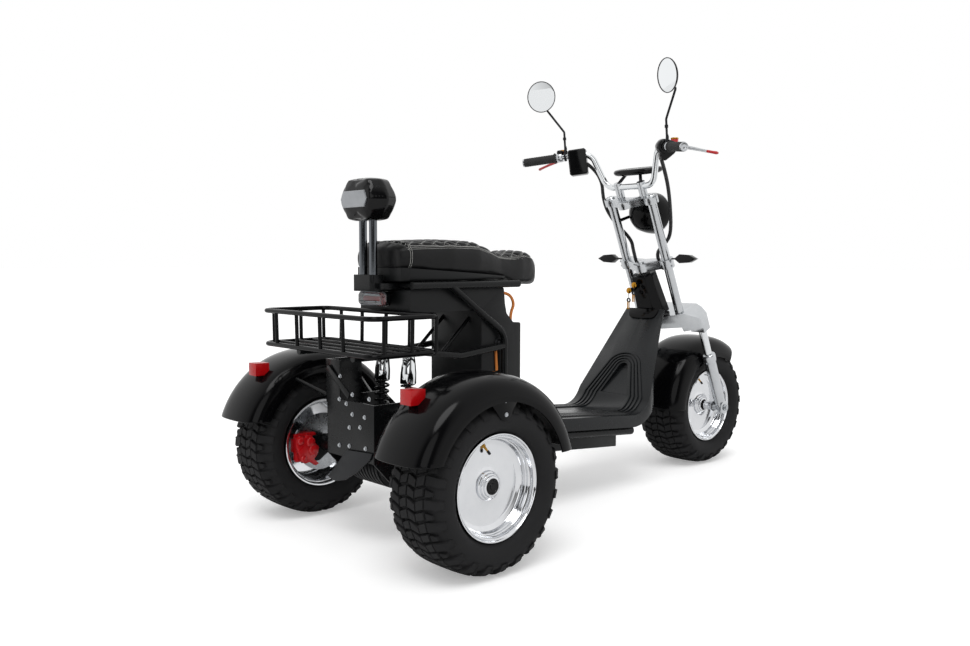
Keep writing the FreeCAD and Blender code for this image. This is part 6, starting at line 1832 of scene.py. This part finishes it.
@dataclass
class Studio:
    """Camera, plain floor and soft light; metres and degrees."""

    position: Point = (2.148, -2.3264, 0.812)
    azimuth: float = 47.276
    elevation: float = 4.056
    roll: float = 0.166
    lens: float = 34.24
    reach: float = 60.0
    sunk: float = -0.0004

    def camera(self) -> None:
        """Sets the photograph's camera."""
        a, e, r = (math.radians(angle) for angle in (self.azimuth, self.elevation, self.roll))
        back = Vector((math.sin(a) * math.cos(e), -math.cos(a) * math.cos(e), math.sin(e)))
        right = Vector((math.cos(a), math.sin(a), 0))
        up = back.cross(right)
        right, up = right * math.cos(r) + up * math.sin(r), up * math.cos(r) - right * math.sin(r)
        data = bpy.data.cameras.new("camera")
        data.lens, data.sensor_width = self.lens, 36.0
        camera = linked("camera", data)
        turn = Matrix((right, up, back)).transposed().to_4x4()
        camera.matrix_world = Matrix.Translation(self.position) @ turn
        bpy.context.scene.camera = camera

    def floor(self) -> None:
        """A wide pale floor that takes the shadow."""
        mesh = bpy.data.meshes.new("floor")
        corners = ((-1, -1), (1, -1), (1, 1), (-1, 1))
        mesh.from_pydata([(x * self.reach, y * self.reach, self.sunk) for x, y in corners], [],
                         [(0, 1, 2, 3)])
        floor = linked("floor", mesh)
        material = bpy.data.materials.new("pale_floor")
        tree = cleared(material)
        path = add_node(tree, "ShaderNodeLightPath")
        matt = add_node(tree, "ShaderNodeBsdfDiffuse", {"Color": linear("#f4f4f4")})
        lift = add_node(tree, "ShaderNodeMath", {0: path.outputs["Is Camera Ray"], 1: 0.3},
                        operation="MULTIPLY")
        glow = add_node(tree, "ShaderNodeEmission", {"Strength": lift.outputs[0]})
        both = add_node(tree, "ShaderNodeAddShader", {0: matt.outputs[0], 1: glow.outputs[0]})
        add_node(tree, "ShaderNodeOutputMaterial", {"Surface": both.outputs[0]})
        mesh.materials.append(material)

    def light(self) -> None:
        """A surround that is white to the camera and through glass, a ramp to reflections, and two soft suns.

        Reflections see white on the far side and dark grey toward the camera, which bands polished metal.
        """
        scene = bpy.context.scene
        scene.view_settings.view_transform = "Standard"
        world = bpy.data.worlds.new("surround")
        scene.world = world
        tree = cleared(world)
        path = add_node(tree, "ShaderNodeLightPath")
        seen = add_node(tree, "ShaderNodeMath", {
            0: path.outputs["Is Camera Ray"], 1: path.outputs["Is Transmission Ray"]}, operation="MAXIMUM")
        place = add_node(tree, "ShaderNodeTexCoord")
        toward = add_node(tree, "ShaderNodeVectorMath", {
            0: place.outputs["Generated"], 1: Vector((0.72, -0.66, 0.22)).normalized()},
            operation="DOT_PRODUCT")
        band = add_node(tree, "ShaderNodeValToRGB", {0: toward.outputs["Value"]})
        ramp = band.color_ramp
        for stop in (0.5, 0.68, 0.78, 0.92):
            ramp.elements.new(stop)
        for mark, grey in zip(ramp.elements, (1.0, 0.95, 0.6, 0.12, 0.05, 0.1)):
            mark.color = (grey, grey, grey, 1)
        glossy = add_node(tree, "ShaderNodeMix", {
            "Factor": path.outputs["Is Glossy Ray"], "A": (0.62, 0.62, 0.62, 1), "B": band.outputs[0]},
            data_type="RGBA")
        shown = add_node(tree, "ShaderNodeMix", {
            "Factor": seen.outputs[0], "A": glossy.outputs["Result"], "B": (1, 1, 1, 1)}, data_type="RGBA")
        sky = add_node(tree, "ShaderNodeBackground", {"Color": shown.outputs["Result"], "Strength": 1.0})
        add_node(tree, "ShaderNodeOutputWorld", {"Surface": sky.outputs[0]})
        for name, strength, aim, spread in (
                ("key", 1.15, (-0.35, 0.35, -1.0), 32), ("side", 0.45, (-1.0, 0.9, -0.55), 40)):
            data = bpy.data.lights.new(name, "SUN")
            data.energy, data.angle = strength, math.radians(spread)
            linked(name, data).rotation_euler = Vector(aim).to_track_quat("-Z", "Y").to_euler()

    def build(self) -> None:
        """Sets the stage."""
        self.camera()
        self.floor()
        self.light()


def dress_rest() -> None:
    """Gives the CAD nodes that still show their finishes."""
    for name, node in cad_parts.items():
        if node.hide_render:
            continue
        finish = STEEL if name.startswith("disc_") else MOULDED
        node.data.materials.clear()
        node.data.materials.append(finish.material())
        log.info("CAD node %s keeps its shape in %s", name, finish.name)


def main() -> None:
    """Builds the trike piece by piece."""
    logging.basicConfig(level=logging.INFO, format="%(name)s: %(message)s")
    Studio().build()
    Wheel("front", Body.FRONT, Fork.axle, 1).build()
    Wheel("rear_right", Body.RIGHT, (400, 0, 230), 1).build()
    Wheel("rear_left", Body.LEFT, (-400, 0, 230), -1).build()
    for name, sign in (("left", -1), ("right", 1)):
        Guard(f"guard_rear_{name}", f"fender_rear_{name}", Body.FRAME, (sign * 400, 0, 230), 292, 110, 222, 8,
              168, cuts=(92, 68), outer=sign, tab=sign).build()
    Guard("guard_front", "front_fender", Body.STEERING, Fork.axle, 277, 116, 197, 60, 178).build()
    Fork().build()
    Controls().build()
    Headlight().build()
    Chassis().build()
    RearEnd().build()
    Basket().build()
    Seat().build()
    Reflectors().build()
    BOLTS.lay()
    dress_rest()


if __name__ == "__main__":
    main()
